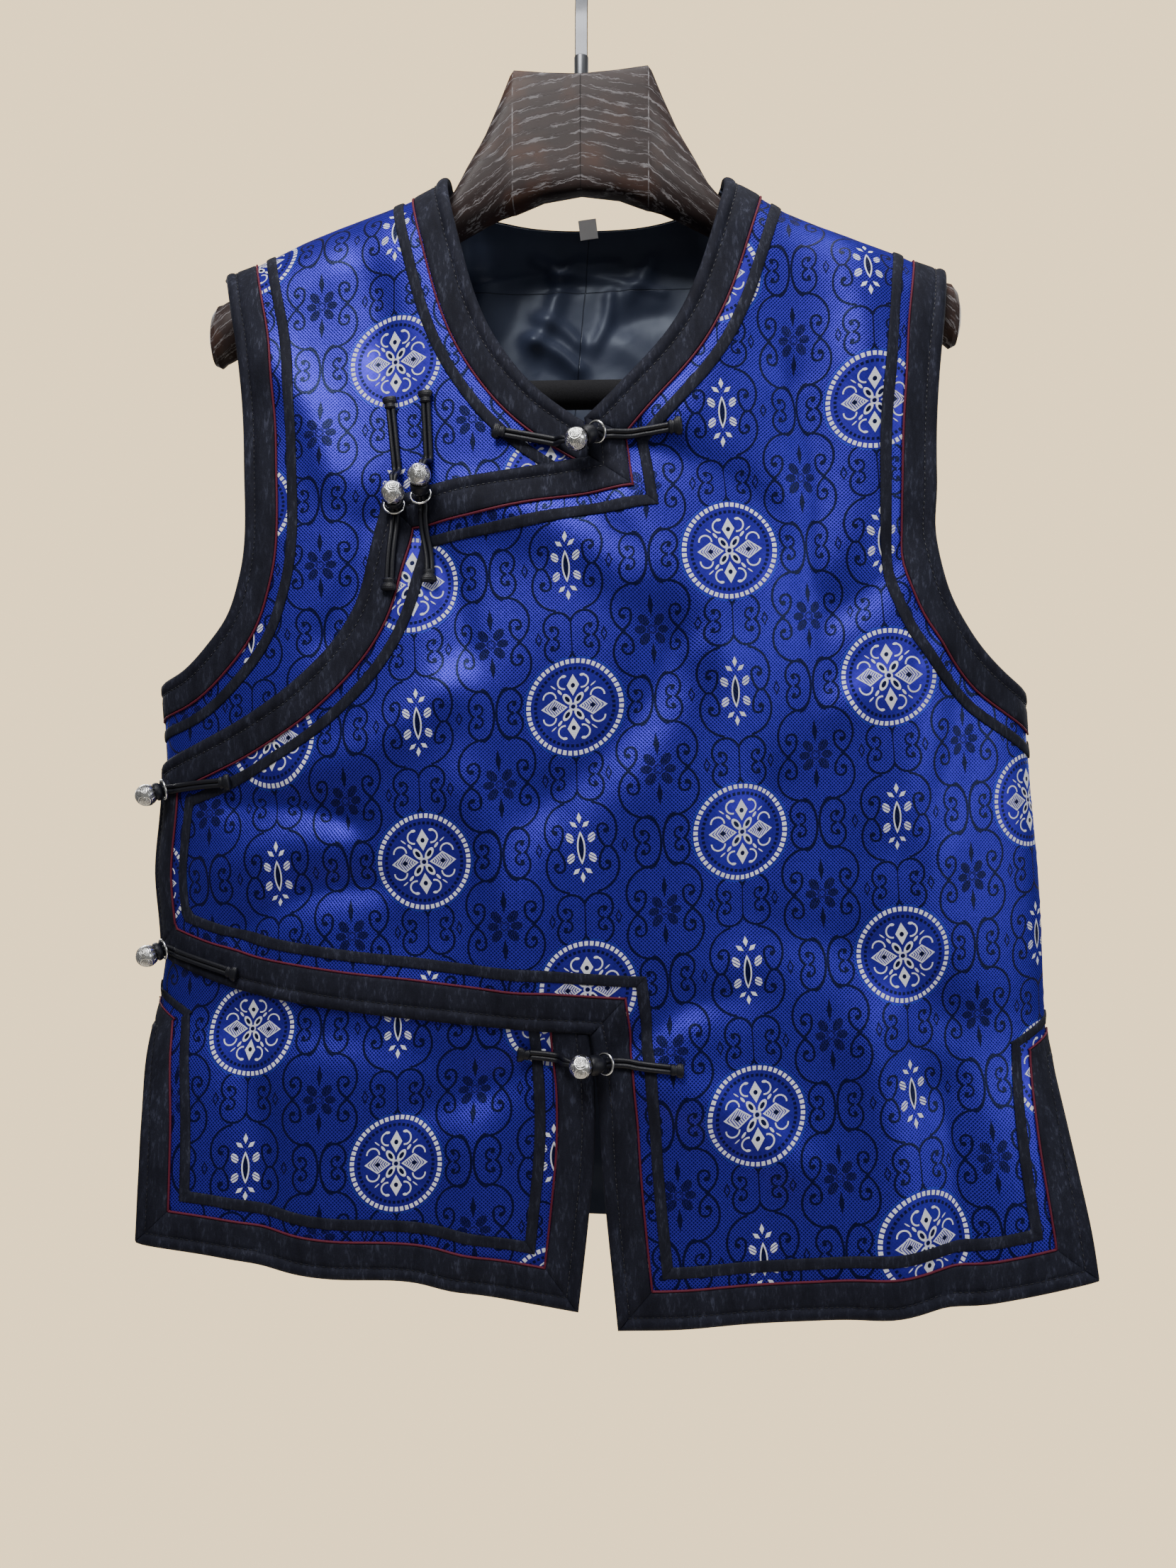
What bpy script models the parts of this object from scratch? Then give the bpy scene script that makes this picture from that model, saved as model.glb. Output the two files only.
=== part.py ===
"""Mongolian vest on a wooden hanger, at real size.

Metres, +Z up. The origin is the inside top of the hanger's hook, where a rail bears on it.
+X is the viewer's right and the fronts face -Y. Lengths below are millimetres, and MM turns
them into metres where a mesh is made.

Each panel is drawn in cloth coordinates: "across" runs along the cloth from the middle of the
hanger, and "down" runs along the cloth from the height of the hook. cloth_point() folds these
flat coordinates over the hanger's arms and round the body. One triangulation serves every
piece of the front, and one every piece of the back, so a border is made from the points of
the panel below it, moved out.
"""

from collections import namedtuple
from math import cos, pi, radians, sin, tan

import bmesh
import bpy
import numpy as np
from mathutils import Matrix, Vector
from mathutils.geometry import delaunay_2d_cdt

MM = 0.001

# Cloth thicknesses and the gap between touching pieces.
GAP = 0.3
PANEL_THICK = 1.5
LINING_THICK = 1.0
BORDER_THICK = 1.3
BAND_THICK = 1.0

# Widths measured in from a trimmed edge.
BORDER_WIDTH = 21.0
BAND_START = 28.5
BAND_END = 35.0
ROWS = (0.0, BORDER_WIDTH, BAND_START, BAND_END)

# Triangle sizes.
STATION = 25.0
GRID = 33.0
LAP_CLEARANCE = 0.5
SHOULDER_ROWS = (14.0, 38.0)
SIDE_ROW = 12.0

# Distance of each layer's inner face from the base surface.
INNER_LAYER = 0.0
INNER_TRIM = PANEL_THICK + GAP
OUTER_LAYER = PANEL_THICK + GAP
OUTER_TRIM = OUTER_LAYER + PANEL_THICK + GAP
LINING_LAYER = 0.0
BACK_LAYER = LINING_THICK + GAP
BACK_TRIM = BACK_LAYER + PANEL_THICK + GAP

# Horizontal sections of the hanging vest, from the neck to the hem: half-widths to the
# viewer's left and right, depths in front of and behind the hanger, and how far each panel's
# side edge stands off the middle where the side slits are open.
Section = namedtuple(
    "Section", "drop left right front back lip_left lip_right lip_back"
)
SECTIONS = (
    Section(165, 280, 280, 48, 42, 0, 0, 0),
    Section(300, 274, 276, 52, 44, 0, 0, 0),
    Section(487, 267, 272, 58, 46, 0, 0, 0),
    Section(558, 264.5, 277, 59, 46, 0, 0, 0),
    Section(608, 268.5, 281.5, 59, 46, 0, 0, 0),
    Section(659, 265, 284, 60, 46, 0, 0, 0),
    Section(690, 268.5, 285, 60, 46, 0, 0, 0),
    Section(720, 268, 286, 60, 46, 20, 6, 5),
    Section(757, 266, 289, 60, 46, 34, 26, 12),
    Section(815, 266, 297, 61, 46, 43, 48, 20),
    Section(880, 268, 304, 62, 46, 48, 60, 24),
)
LENS_POWER = 1.8
SEAM_HALF_GAP = 0.2

# Height of the seam along each shoulder.
Seam = namedtuple("Seam", "across left right")
SHOULDER = (
    Seam(0, 171, 171),
    Seam(76, 171, 171),
    Seam(82, 174.5, 175),
    Seam(90, 180.5, 180.5),
    Seam(104, 187.5, 188),
    Seam(124, 194, 200),
    Seam(148, 201.5, 210),
    Seam(172, 210, 218.5),
    Seam(194, 219.5, 226),
    Seam(208, 225, 232),
    Seam(236, 233.5, 241),
)
ROLL_DROP = 46.0
ROLL_LENGTH = 72.0

# The largest folds: soft troughs (negative) and ridges between two points of the cloth.
Fold = namedtuple("Fold", "panel across_a down_a across_b down_b width depth")
FOLDS = (
    Fold("front", -150, 260, -60, 430, 34, -4.0),
    Fold("front", 120, 230, 150, 470, 38, -5.0),
    Fold("front", 190, 300, 205, 560, 30, 4.0),
    Fold("front", 60, 380, 20, 640, 46, 3.5),
    Fold("front", -190, 560, -90, 640, 34, -3.5),
    Fold("front", 130, 560, 215, 800, 40, -4.0),
    Fold("front", 70, 700, 60, 860, 30, 4.0),
    Fold("front", -150, 720, -160, 840, 34, 4.0),
    Fold("back", -120, 260, -60, 520, 42, -5.0),
    Fold("back", 130, 250, 80, 560, 44, -5.0),
    Fold("back", -30, 420, -10, 800, 50, 4.5),
    Fold("back", -180, 640, -190, 840, 34, 4.0),
    Fold("back", 170, 620, 185, 840, 36, -4.0),
)

# Landmarks of the cut, as (across, down).
NECK_LEFT = (-82, 148.5)
NECK_RIGHT = (87, 152.3)
TIP_LEFT = -229.0
TIP_RIGHT = 228.0
PIT_LEFT = 490.0
PIT_RIGHT = 497.0
SLIT_LEFT = 708.0
SLIT_RIGHT = 722.0
LAP_CORNER = (5, 338)
LAP_INNER_CORNER = (8, 361)
FLAP_CORNER = (-117, 381)
FLAP_SIDE = 541.0
WAIST_SIDE = 659.0
CENTRE_CORNER = (9, 696.5)
OUTER_HEM_CENTRE = (25, 867)
OUTER_HEM_SIDE = 838.0
INNER_HEM_CENTRE = (1, 858)
INNER_HEM_SIDE = 829.0
UNDERLAP = 17.0
BACK_HEM_SIDE = 838.0

GABLE_RISE = 0.85
GABLE_KNEE = 0.4


def smooth_lookup(x, xs, ys):
    """A smooth curve through a table's rows, read at x."""
    xs = np.asarray(xs, float)
    ys = np.asarray(ys, float)
    slopes = np.gradient(ys, xs)
    x = np.clip(x, xs[0], xs[-1])
    i = np.clip(np.searchsorted(xs, x) - 1, 0, len(xs) - 2)
    span = xs[i + 1] - xs[i]
    t = (x - xs[i]) / span
    start = (2 * t**3 - 3 * t**2 + 1) * ys[i] + (t**3 - 2 * t**2 + t) * span * slopes[i]
    end = (3 * t**2 - 2 * t**3) * ys[i + 1] + (t**3 - t**2) * span * slopes[i + 1]
    return start + end


def lens_tables():
    """Length, width and depth along a quarter of a lens, for each ratio of depth to width."""
    angle = np.linspace(0, pi / 2, 1201)
    wide = np.sin(angle) ** (2 / LENS_POWER)
    deep = np.cos(angle) ** (2 / LENS_POWER)
    lengths, across, depth = [], [], []
    for ratio in RATIOS:
        run = np.hypot(np.diff(wide), ratio * np.diff(deep)).cumsum()
        run = np.concatenate([[0], run])
        lengths.append(run[-1])
        across.append(np.interp(SHARES, run / run[-1], wide))
        depth.append(np.interp(SHARES, run / run[-1], deep))
    return np.array(lengths), np.array(across), np.array(depth)


RATIOS = np.linspace(0.0, 0.35, 36)
SHARES = np.linspace(0.0, 1.0, 161)
LENS_LENGTH, LENS_ACROSS, LENS_DEPTH = lens_tables()


def section_column(name, drop):
    return smooth_lookup(drop, [s.drop for s in SECTIONS], [getattr(s, name) for s in SECTIONS])


def section_at(drop, across, back):
    """Half-width, depth and edge stand-off of a panel at a height."""
    left = np.asarray(across) < 0
    half = np.where(left, section_column("left", drop), section_column("right", drop))
    if back:
        depth = section_column("back", drop)
        lip = section_column("lip_back", drop)
    else:
        depth = section_column("front", drop)
        lip = np.where(
            left, section_column("lip_left", drop), section_column("lip_right", drop)
        )
    return half, depth, np.clip(lip, 0, depth)


def side_across(down, side, back=False):
    """The cloth coordinate of the side seam or slit edge, at a height."""
    half, depth, lip = section_at(np.asarray(down, float), side, back)
    return side * half * np.interp((depth - lip) / half, RATIOS, LENS_LENGTH)


def shoulder_down(across):
    """The cloth coordinate of the shoulder seam."""
    spots = [s.across for s in SHOULDER]
    left = np.interp(-across, spots, [s.left for s in SHOULDER])
    right = np.interp(across, spots, [s.right for s in SHOULDER])
    return np.where(across < 0, left, right) + ROLL_DROP - ROLL_LENGTH


def read_lens(table, ratio, share):
    fi = np.clip(ratio / RATIOS[1], 0, len(RATIOS) - 1.001)
    fj = np.clip(share * (len(SHARES) - 1), 0, len(SHARES) - 1.001)
    i = fi.astype(int)
    j = fj.astype(int)
    fi = fi - i
    fj = fj - j
    near = table[i, j] * (1 - fi) + table[i + 1, j] * fi
    far = table[i, j + 1] * (1 - fi) + table[i + 1, j + 1] * fi
    return near * (1 - fj) + far * fj


def fold_height(across, down, panel):
    """How far the soft folds push the cloth out, in millimetres."""
    height = np.zeros(np.shape(across))
    for fold in FOLDS:
        if fold.panel != panel:
            continue
        run = np.array([fold.across_b - fold.across_a, fold.down_b - fold.down_a], float)
        length = np.hypot(*run)
        along = ((across - fold.across_a) * run[0] + (down - fold.down_a) * run[1]) / length
        off = ((across - fold.across_a) * run[1] - (down - fold.down_a) * run[0]) / length
        beyond = np.maximum(np.maximum(-along, along - length), 0)
        reach = (off / fold.width) ** 2 + (beyond / (1.4 * fold.width)) ** 2
        height += fold.depth * np.exp(-reach)
    return height


def cloth_point(across, down, back=False):
    """The base surface of the front or back, over the shoulders and round the sides."""
    across = np.asarray(across, float)
    down = np.asarray(down, float)
    roll_start = shoulder_down(across) + ROLL_LENGTH
    turn = np.maximum((roll_start - down) / ROLL_LENGTH * pi / 2, 0)
    drop = np.where(turn > 0, roll_start - ROLL_DROP * np.sin(turn), down)
    half, depth, lip = section_at(drop, across, back)
    ratio = (depth - lip) / half
    total = half * np.interp(ratio, RATIOS, LENS_LENGTH)
    share = np.abs(across) / total
    x = np.sign(across) * half * read_lens(LENS_ACROSS, ratio, share)
    y = lip + (depth - lip) * read_lens(LENS_DEPTH, ratio, share)
    calm = np.clip((1 - share) / 0.25, 0, 1) * np.clip((roll_start - ROLL_LENGTH - down) / -90, 0, 1)
    y = y * np.cos(turn) + calm * fold_height(across, down, "back" if back else "front")
    y = (y + SEAM_HALF_GAP) * (1 if back else -1)
    return np.stack([x, y, -drop], axis=-1)


def cloth_normal(across, down, back=False):
    """The outward normal of the base surface."""
    step = 1.0
    side = np.cross(
        cloth_point(across + step, down, back) - cloth_point(across - step, down, back),
        cloth_point(across, down + step, back) - cloth_point(across, down - step, back),
    )
    side /= np.linalg.norm(side, axis=-1, keepdims=True)
    return side if back else -side


def cloth_at(across, down, out, back=False):
    """A point a given distance outside the base surface."""
    across = np.asarray(across, float)
    down = np.asarray(down, float)
    return cloth_point(across, down, back) + np.asarray(out)[..., None] * cloth_normal(
        across, down, back
    )


# Edges of the cut. Each edge is a smooth curve through a few points.

def smooth_edge(points, fine=2.0):
    """A dense polyline along a smooth curve through the points."""
    points = np.array(points, float)
    run = np.concatenate([[0], np.hypot(*np.diff(points, axis=0).T).cumsum()])
    steps = np.linspace(0, run[-1], max(int(run[-1] / fine), 2) + 1)
    if len(points) == 2:
        return np.stack([np.interp(steps, run, points[:, k]) for k in (0, 1)], axis=1)
    return np.stack([smooth_lookup(steps, run, points[:, k]) for k in (0, 1)], axis=1)


def side_edge(start, end, side, back=False):
    """The panel's side, between two heights."""
    down = np.linspace(start, end, max(int(abs(end - start) / 2), 2) + 1)
    return np.stack([side_across(down, side, back), down], axis=1)


def shoulder_edge(start, end):
    across = np.linspace(start, end, max(int(abs(end - start) / 2), 2) + 1)
    return np.stack([across, shoulder_down(across)], axis=1)


def measured(edge):
    """Length along a polyline at each of its points."""
    return np.concatenate([[0], np.hypot(*np.diff(edge, axis=0).T).cumsum()])


def edge_point(edge, distance, inset, inward):
    """A point at a distance along an edge, moved into the panel. Beyond an end the edge runs on straight."""
    run = measured(edge)
    inside = min(max(distance, 0.0), run[-1])
    x = np.interp(inside, run, edge[:, 0])
    y = np.interp(inside, run, edge[:, 1])
    ahead = min(inside + 3, run[-1])
    behind = max(inside - 3, 0)
    tangent = np.array(
        [
            np.interp(ahead, run, edge[:, 0]) - np.interp(behind, run, edge[:, 0]),
            np.interp(ahead, run, edge[:, 1]) - np.interp(behind, run, edge[:, 1]),
        ]
    )
    tangent /= np.hypot(*tangent)
    side = inward * np.array([-tangent[1], tangent[0]])
    return np.array([x, y]) + tangent * (distance - inside) + side * inset


def end_tangent(edge, at_end):
    chord = edge[-1] - edge[-3] if at_end else edge[2] - edge[0]
    return chord / np.hypot(*chord)


class Chain:
    """A run of trimmed edges with mitred corners, whose ends lie on a seam or under a lap."""

    def __init__(self, edges, start, end, inward, gable_start=None, gable_end=None):
        self.edges = edges
        self.start = start
        self.end = end
        self.inward = inward
        self.gable_start = gable_start
        self.gable_end = gable_end
        self.counts = [max(2, round(measured(e)[-1] / STATION)) for e in edges]

    def trims(self, k, inset):
        """How much an inset row of edge k is shortened at its two ends."""
        edge = self.edges[k]
        if k == 0:
            first = np.dot(self.start(inset) - edge[0], end_tangent(edge, False))
        else:
            first = self.miter(k - 1, inset)
        if k == len(self.edges) - 1:
            last = -np.dot(self.end(inset) - edge[-1], end_tangent(edge, True))
        else:
            last = self.miter(k, inset)
        return first, last

    def miter(self, k, inset):
        before = end_tangent(self.edges[k], True)
        after = end_tangent(self.edges[k + 1], False)
        turn = np.arctan2(
            self.inward * (before[0] * after[1] - before[1] * after[0]), np.dot(before, after)
        )
        return inset * tan(turn / 2)

    def row(self, inset):
        """The points of the line that runs inside the trimmed edges at this distance."""
        points = []
        for k, edge in enumerate(self.edges):
            first, last = self.trims(k, inset)
            length = measured(edge)[-1] - first - last
            for i in range(self.counts[k] + 1):
                if k and i == 0:
                    continue
                distance = first + length * i / self.counts[k]
                points.append(edge_point(edge, distance, inset, self.inward))
        points[0] = self.start(inset)
        points[-1] = self.end(inset)
        if self.gable_start is not None and inset:
            points.insert(0, self.gable_start(inset))
        if self.gable_end is not None and inset:
            points.append(self.gable_end(inset))
        return np.array(points)

    def strip(self, near, far):
        """The outline of the cloth between two rows."""
        return np.concatenate([self.row(near), self.row(far)[::-1]])


def on_shoulder(across, toward):
    """Where a row at an inset meets the shoulder seam, from a start point towards the other end."""
    return lambda inset: np.array(
        [across + toward * inset, float(shoulder_down(across + toward * inset))]
    )


def on_side(down, side, toward, back=False):
    """Where a row at an inset meets the side seam."""
    return lambda inset: np.array(
        [float(side_across(down + toward * inset, side, back)), down + toward * inset]
    )


def gable_knee(down, side, back=False):
    """Where a slit's trim turns from the slit's edge into the gable over its top."""
    return lambda inset: np.array(
        [
            float(side_across(down, side, back)) - side * inset,
            down - GABLE_KNEE * inset,
        ]
    )


def on_hidden_edge(point, direction):
    point = np.array(point, float)
    direction = np.array(direction, float)
    return lambda inset: point + direction * inset


def front_chains():
    """The trimmed edges of both fronts."""
    neck_right = smooth_edge([NECK_RIGHT, (86.5, 195), (79, 227), (58, 279), (25, 318), LAP_CORNER])
    lap_edge = smooth_edge([LAP_CORNER, LAP_INNER_CORNER])
    flap_top = smooth_edge([LAP_INNER_CORNER, (-82, 374), FLAP_CORNER])
    flap_side = (float(side_across(FLAP_SIDE, -1)), FLAP_SIDE)
    flap_curve = smooth_edge(
        [FLAP_CORNER, (-124, 413), (-133, 446), (-170, 489), (-201, 509), (-240, 527), flap_side]
    )
    left_side = side_edge(FLAP_SIDE, WAIST_SIDE, -1)
    waist_side = (float(side_across(WAIST_SIDE, -1)), WAIST_SIDE)
    waist = smooth_edge([waist_side, (-213, 676), (-150, 685), (-60, 693), CENTRE_CORNER])
    centre_slit = smooth_edge([CENTRE_CORNER, (13, 730), (16, 777), OUTER_HEM_CENTRE])
    hem_side = (float(side_across(OUTER_HEM_SIDE, 1)), OUTER_HEM_SIDE)
    hem = smooth_edge([OUTER_HEM_CENTRE, (95, 862), (222, 853), hem_side])
    right_slit = side_edge(OUTER_HEM_SIDE, SLIT_RIGHT, 1)
    outer = Chain(
        [neck_right, lap_edge, flap_top, flap_curve, left_side, waist, centre_slit, hem, right_slit],
        on_shoulder(NECK_RIGHT[0], 1),
        gable_knee(SLIT_RIGHT, 1),
        -1,
        gable_end=on_side(SLIT_RIGHT, 1, -GABLE_RISE),
    )
    tip = (TIP_RIGHT, float(shoulder_down(TIP_RIGHT)))
    pit = (float(side_across(PIT_RIGHT, 1)), PIT_RIGHT)
    armhole_right = smooth_edge(
        [tip, (217, 300), (214.5, 370), (217, 420), (224, 440), (240, 464), (262, 484), pit]
    )
    outer_armhole = Chain([armhole_right], on_shoulder(TIP_RIGHT, -1), on_side(PIT_RIGHT, 1, 1.0), 1)
    neck_left = smooth_edge(
        [NECK_LEFT, (-79, 191), (-72, 223), (-51, 284), (-27, 316), (3, 339), (UNDERLAP, 347)]
    )
    inner_neck = Chain(
        [neck_left], on_shoulder(NECK_LEFT[0], -1), on_hidden_edge((UNDERLAP, 347), (0, 1.15)), 1
    )
    tip = (TIP_LEFT, float(shoulder_down(TIP_LEFT)))
    pit = (float(side_across(PIT_LEFT, -1)), PIT_LEFT)
    armhole_left = smooth_edge(
        [tip, (-210, 293), (-206, 355), (-209, 424), (-219, 450), (-232, 465), (-252, 481), pit]
    )
    inner_armhole = Chain([armhole_left], on_shoulder(TIP_LEFT, 1), on_side(PIT_LEFT, -1, 1.0), -1)
    left_slit = side_edge(SLIT_LEFT, INNER_HEM_SIDE, -1)
    hem_side = (float(side_across(INNER_HEM_SIDE, -1)), INNER_HEM_SIDE)
    inner_hem = smooth_edge(
        [hem_side, (-223, 832), (-142, 842), (-96, 843), (-52, 850), INNER_HEM_CENTRE]
    )
    inner_slit = smooth_edge([INNER_HEM_CENTRE, (7, 804), (10.5, 764), (10.5, 730), (7, 690), (7, 672)])
    inner_lower = Chain(
        [left_slit, inner_hem, inner_slit],
        gable_knee(SLIT_LEFT, -1),
        on_hidden_edge((7, 672), (-1, 0)),
        -1,
        gable_start=on_side(SLIT_LEFT, -1, -GABLE_RISE),
    )
    return outer, outer_armhole, inner_neck, inner_armhole, inner_lower


def back_chains():
    """The trimmed edges of the back."""
    neck = smooth_edge(
        [NECK_LEFT, (-80, 164), (-70, 174), (-50, 180), (4, 185), (58, 180), (76, 174), (85, 164), NECK_RIGHT]
    )
    back_neck = Chain([neck], on_shoulder(NECK_LEFT[0], -1), on_shoulder(NECK_RIGHT[0], 1), 1)
    armholes = []
    for side, tip_across, pit_down in ((-1, TIP_LEFT, PIT_LEFT), (1, TIP_RIGHT, PIT_RIGHT)):
        tip = (tip_across, float(shoulder_down(tip_across)))
        pit = (float(side_across(pit_down, side, True)), pit_down)
        shape = ((213, 300), (208, 370), (213, 425), (226, 452), (246, 474))
        edge = smooth_edge([tip, *((side * a, d) for a, d in shape), pit])
        armholes.append(
            Chain([edge], on_shoulder(tip_across, -side), on_side(pit_down, side, 1.0, True), side)
        )
    left_slit = side_edge(SLIT_LEFT, BACK_HEM_SIDE, -1, True)
    corner_left = (float(side_across(BACK_HEM_SIDE, -1, True)), BACK_HEM_SIDE)
    corner_right = (float(side_across(BACK_HEM_SIDE, 1, True)), BACK_HEM_SIDE)
    hem = smooth_edge([corner_left, (-140, 841), (0, 842), (140, 843), corner_right])
    right_slit = side_edge(BACK_HEM_SIDE, SLIT_RIGHT, 1, True)
    lower = Chain(
        [left_slit, hem, right_slit],
        gable_knee(SLIT_LEFT, -1, True),
        gable_knee(SLIT_RIGHT, 1, True),
        -1,
        gable_start=on_side(SLIT_LEFT, -1, -GABLE_RISE, True),
        gable_end=on_side(SLIT_RIGHT, 1, -GABLE_RISE, True),
    )
    return back_neck, armholes[0], armholes[1], lower


def seam_line(edge, chains_here, axis):
    """A seam's points: even stations, and every point where a trim's row ends on the seam."""
    fixed = []
    for ends in chains_here:
        fixed += [ends(inset) for inset in ROWS]
    low, high = sorted((edge[0][axis], edge[-1][axis]))
    fixed += [edge[0], edge[-1]]
    fixed = [p for p in fixed if low - 0.01 <= p[axis] <= high + 0.01]
    count = max(2, round(measured(edge)[-1] / STATION))
    run = measured(edge)
    points = list(fixed)
    for i in range(1, count):
        at = run[-1] * i / count
        p = np.array([np.interp(at, run, edge[:, k]) for k in (0, 1)])
        if min(abs(p[axis] - q[axis]) for q in fixed) > 0.4 * STATION:
            points.append(p)
    points.sort(key=lambda p: p[axis])
    if edge[0][axis] > edge[-1][axis]:
        points.reverse()
    return np.array(points)


def bend_lines(side_spans, back):
    """Extra rows of points where the cloth bends most: along the shoulders and beside the sides."""
    lines = []
    for start, end in ((TIP_LEFT + 3, NECK_LEFT[0] - 3), (NECK_RIGHT[0] + 3, TIP_RIGHT - 3)):
        edge = smooth_edge([(start, 0), (end, 0)], STATION)
        for below in SHOULDER_ROWS:
            lines.append(edge + np.stack([0 * edge[:, 0], shoulder_down(edge[:, 0]) + below], axis=1))
    for side, start, end in side_spans:
        down = np.linspace(start, end, round(abs(end - start) / STATION) + 1)
        lines.append(np.stack([side_across(down, side, back) - side * SIDE_ROW, down], axis=1))
    return lines


def inside(points, outline):
    """Whether each point lies inside a closed outline."""
    x = points[:, 0][:, None]
    y = points[:, 1][:, None]
    ax, ay = outline[:, 0], outline[:, 1]
    bx, by = np.roll(ax, -1), np.roll(ay, -1)
    crosses = (ay > y) != (by > y)
    with np.errstate(divide="ignore", invalid="ignore"):
        meets = (bx - ax) * (y - ay) / (by - ay) + ax
    return (crosses & (x < meets)).sum(axis=1) % 2 == 1


def distance_to_lines(points, lines):
    """Each point's distance to the nearest of some polylines."""
    nearest = np.full(len(points), 1e9)
    for line in lines:
        for a, b in zip(line[:-1], line[1:]):
            run = b - a
            t = np.clip(((points - a) @ run) / max(run @ run, 1e-9), 0, 1)
            gap = np.hypot(*(points - a - t[:, None] * run).T)
            nearest = np.minimum(nearest, gap)
    return nearest


def triangulate(outlines, lines):
    """One triangulation of the cloth inside the outlines, in which every line is a row of edges."""
    rows = [np.vstack([o, o[:1]]) for o in outlines] + list(lines)
    low = np.min([o.min(axis=0) for o in outlines], axis=0)
    high = np.max([o.max(axis=0) for o in outlines], axis=0)
    grid = []
    for j, down in enumerate(np.arange(low[1], high[1], GRID * 0.866)):
        for across in np.arange(low[0] + (j % 2) * GRID / 2, high[0], GRID):
            grid.append((across, down))
    grid = np.array(grid)
    keep = np.any([inside(grid, o) for o in outlines], axis=0)
    grid = grid[keep]
    grid = grid[distance_to_lines(grid, rows) > 0.5 * GRID]
    points = [tuple(p) for p in grid]
    edges = []
    for row in rows:
        start = len(points)
        points += [tuple(p) for p in row]
        edges += [(start + i, start + i + 1) for i in range(len(row) - 1)]
    found, _, faces, _, _, _ = delaunay_2d_cdt(
        [Vector(p) for p in points], edges, [], 0, 0.3, False
    )
    return np.array([tuple(p) for p in found]), np.array([f for f in faces if len(f) == 3])


def same_way_round(flat, faces):
    """The triangles, each turned anticlockwise in cloth coordinates."""
    a, b, c = (flat[faces[:, k]] for k in range(3))
    area = (b[:, 0] - a[:, 0]) * (c[:, 1] - a[:, 1]) - (b[:, 1] - a[:, 1]) * (c[:, 0] - a[:, 0])
    return np.where((area < 0)[:, None], faces[:, ::-1], faces)


class Sheet:
    """The triangulated cloth of one side of the vest."""

    def __init__(self, outlines, lines, back):
        self.flat, faces = triangulate(outlines, lines)
        faces = same_way_round(self.flat, faces)
        self.faces = faces if back else faces[:, ::-1]
        self.centres = self.flat[self.faces].mean(axis=1)
        self.back = back

    def piece(self, name, chosen, out, thick, finish):
        """A wall from some of the sheet's triangles, between two distances from the base surface."""
        used, index = np.unique(self.faces[chosen], return_inverse=True)
        faces = index.reshape(-1, 3)
        across, down = self.flat[used].T
        count = len(used)
        points = np.concatenate(
            [
                cloth_at(across, down, np.full(count, out), self.back),
                cloth_at(across, down, np.full(count, out + thick), self.back),
            ]
        )
        ends = np.concatenate([faces[:, [0, 1]], faces[:, [1, 2]], faces[:, [2, 0]]])
        pairs = {tuple(e) for e in ends.tolist()}
        rim = [(a, b, b + count, a + count) for a, b in pairs if (b, a) not in pairs]
        walls = (faces + count).tolist() + faces[:, ::-1].tolist() + rim
        mesh = bpy.data.meshes.new(name)
        mesh.from_pydata((points * MM).tolist(), [], walls)
        return add_object(name, mesh, finish)


def trim_pieces(sheet, name, chain, out, clear_of=None):
    """The border and the narrow band of one chain of edges."""
    free = np.ones(len(sheet.faces), bool)
    if clear_of is not None:
        free = ~inside(sheet.centres, clear_of)
    border = inside(sheet.centres, chain.strip(0, BORDER_WIDTH)) & free
    sheet.piece("border_" + name, border, out, BORDER_THICK, "suede")
    band = inside(sheet.centres, chain.strip(BAND_START, BAND_END)) & free
    sheet.piece("band_" + name, band, out, BAND_THICK, "suede")


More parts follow.
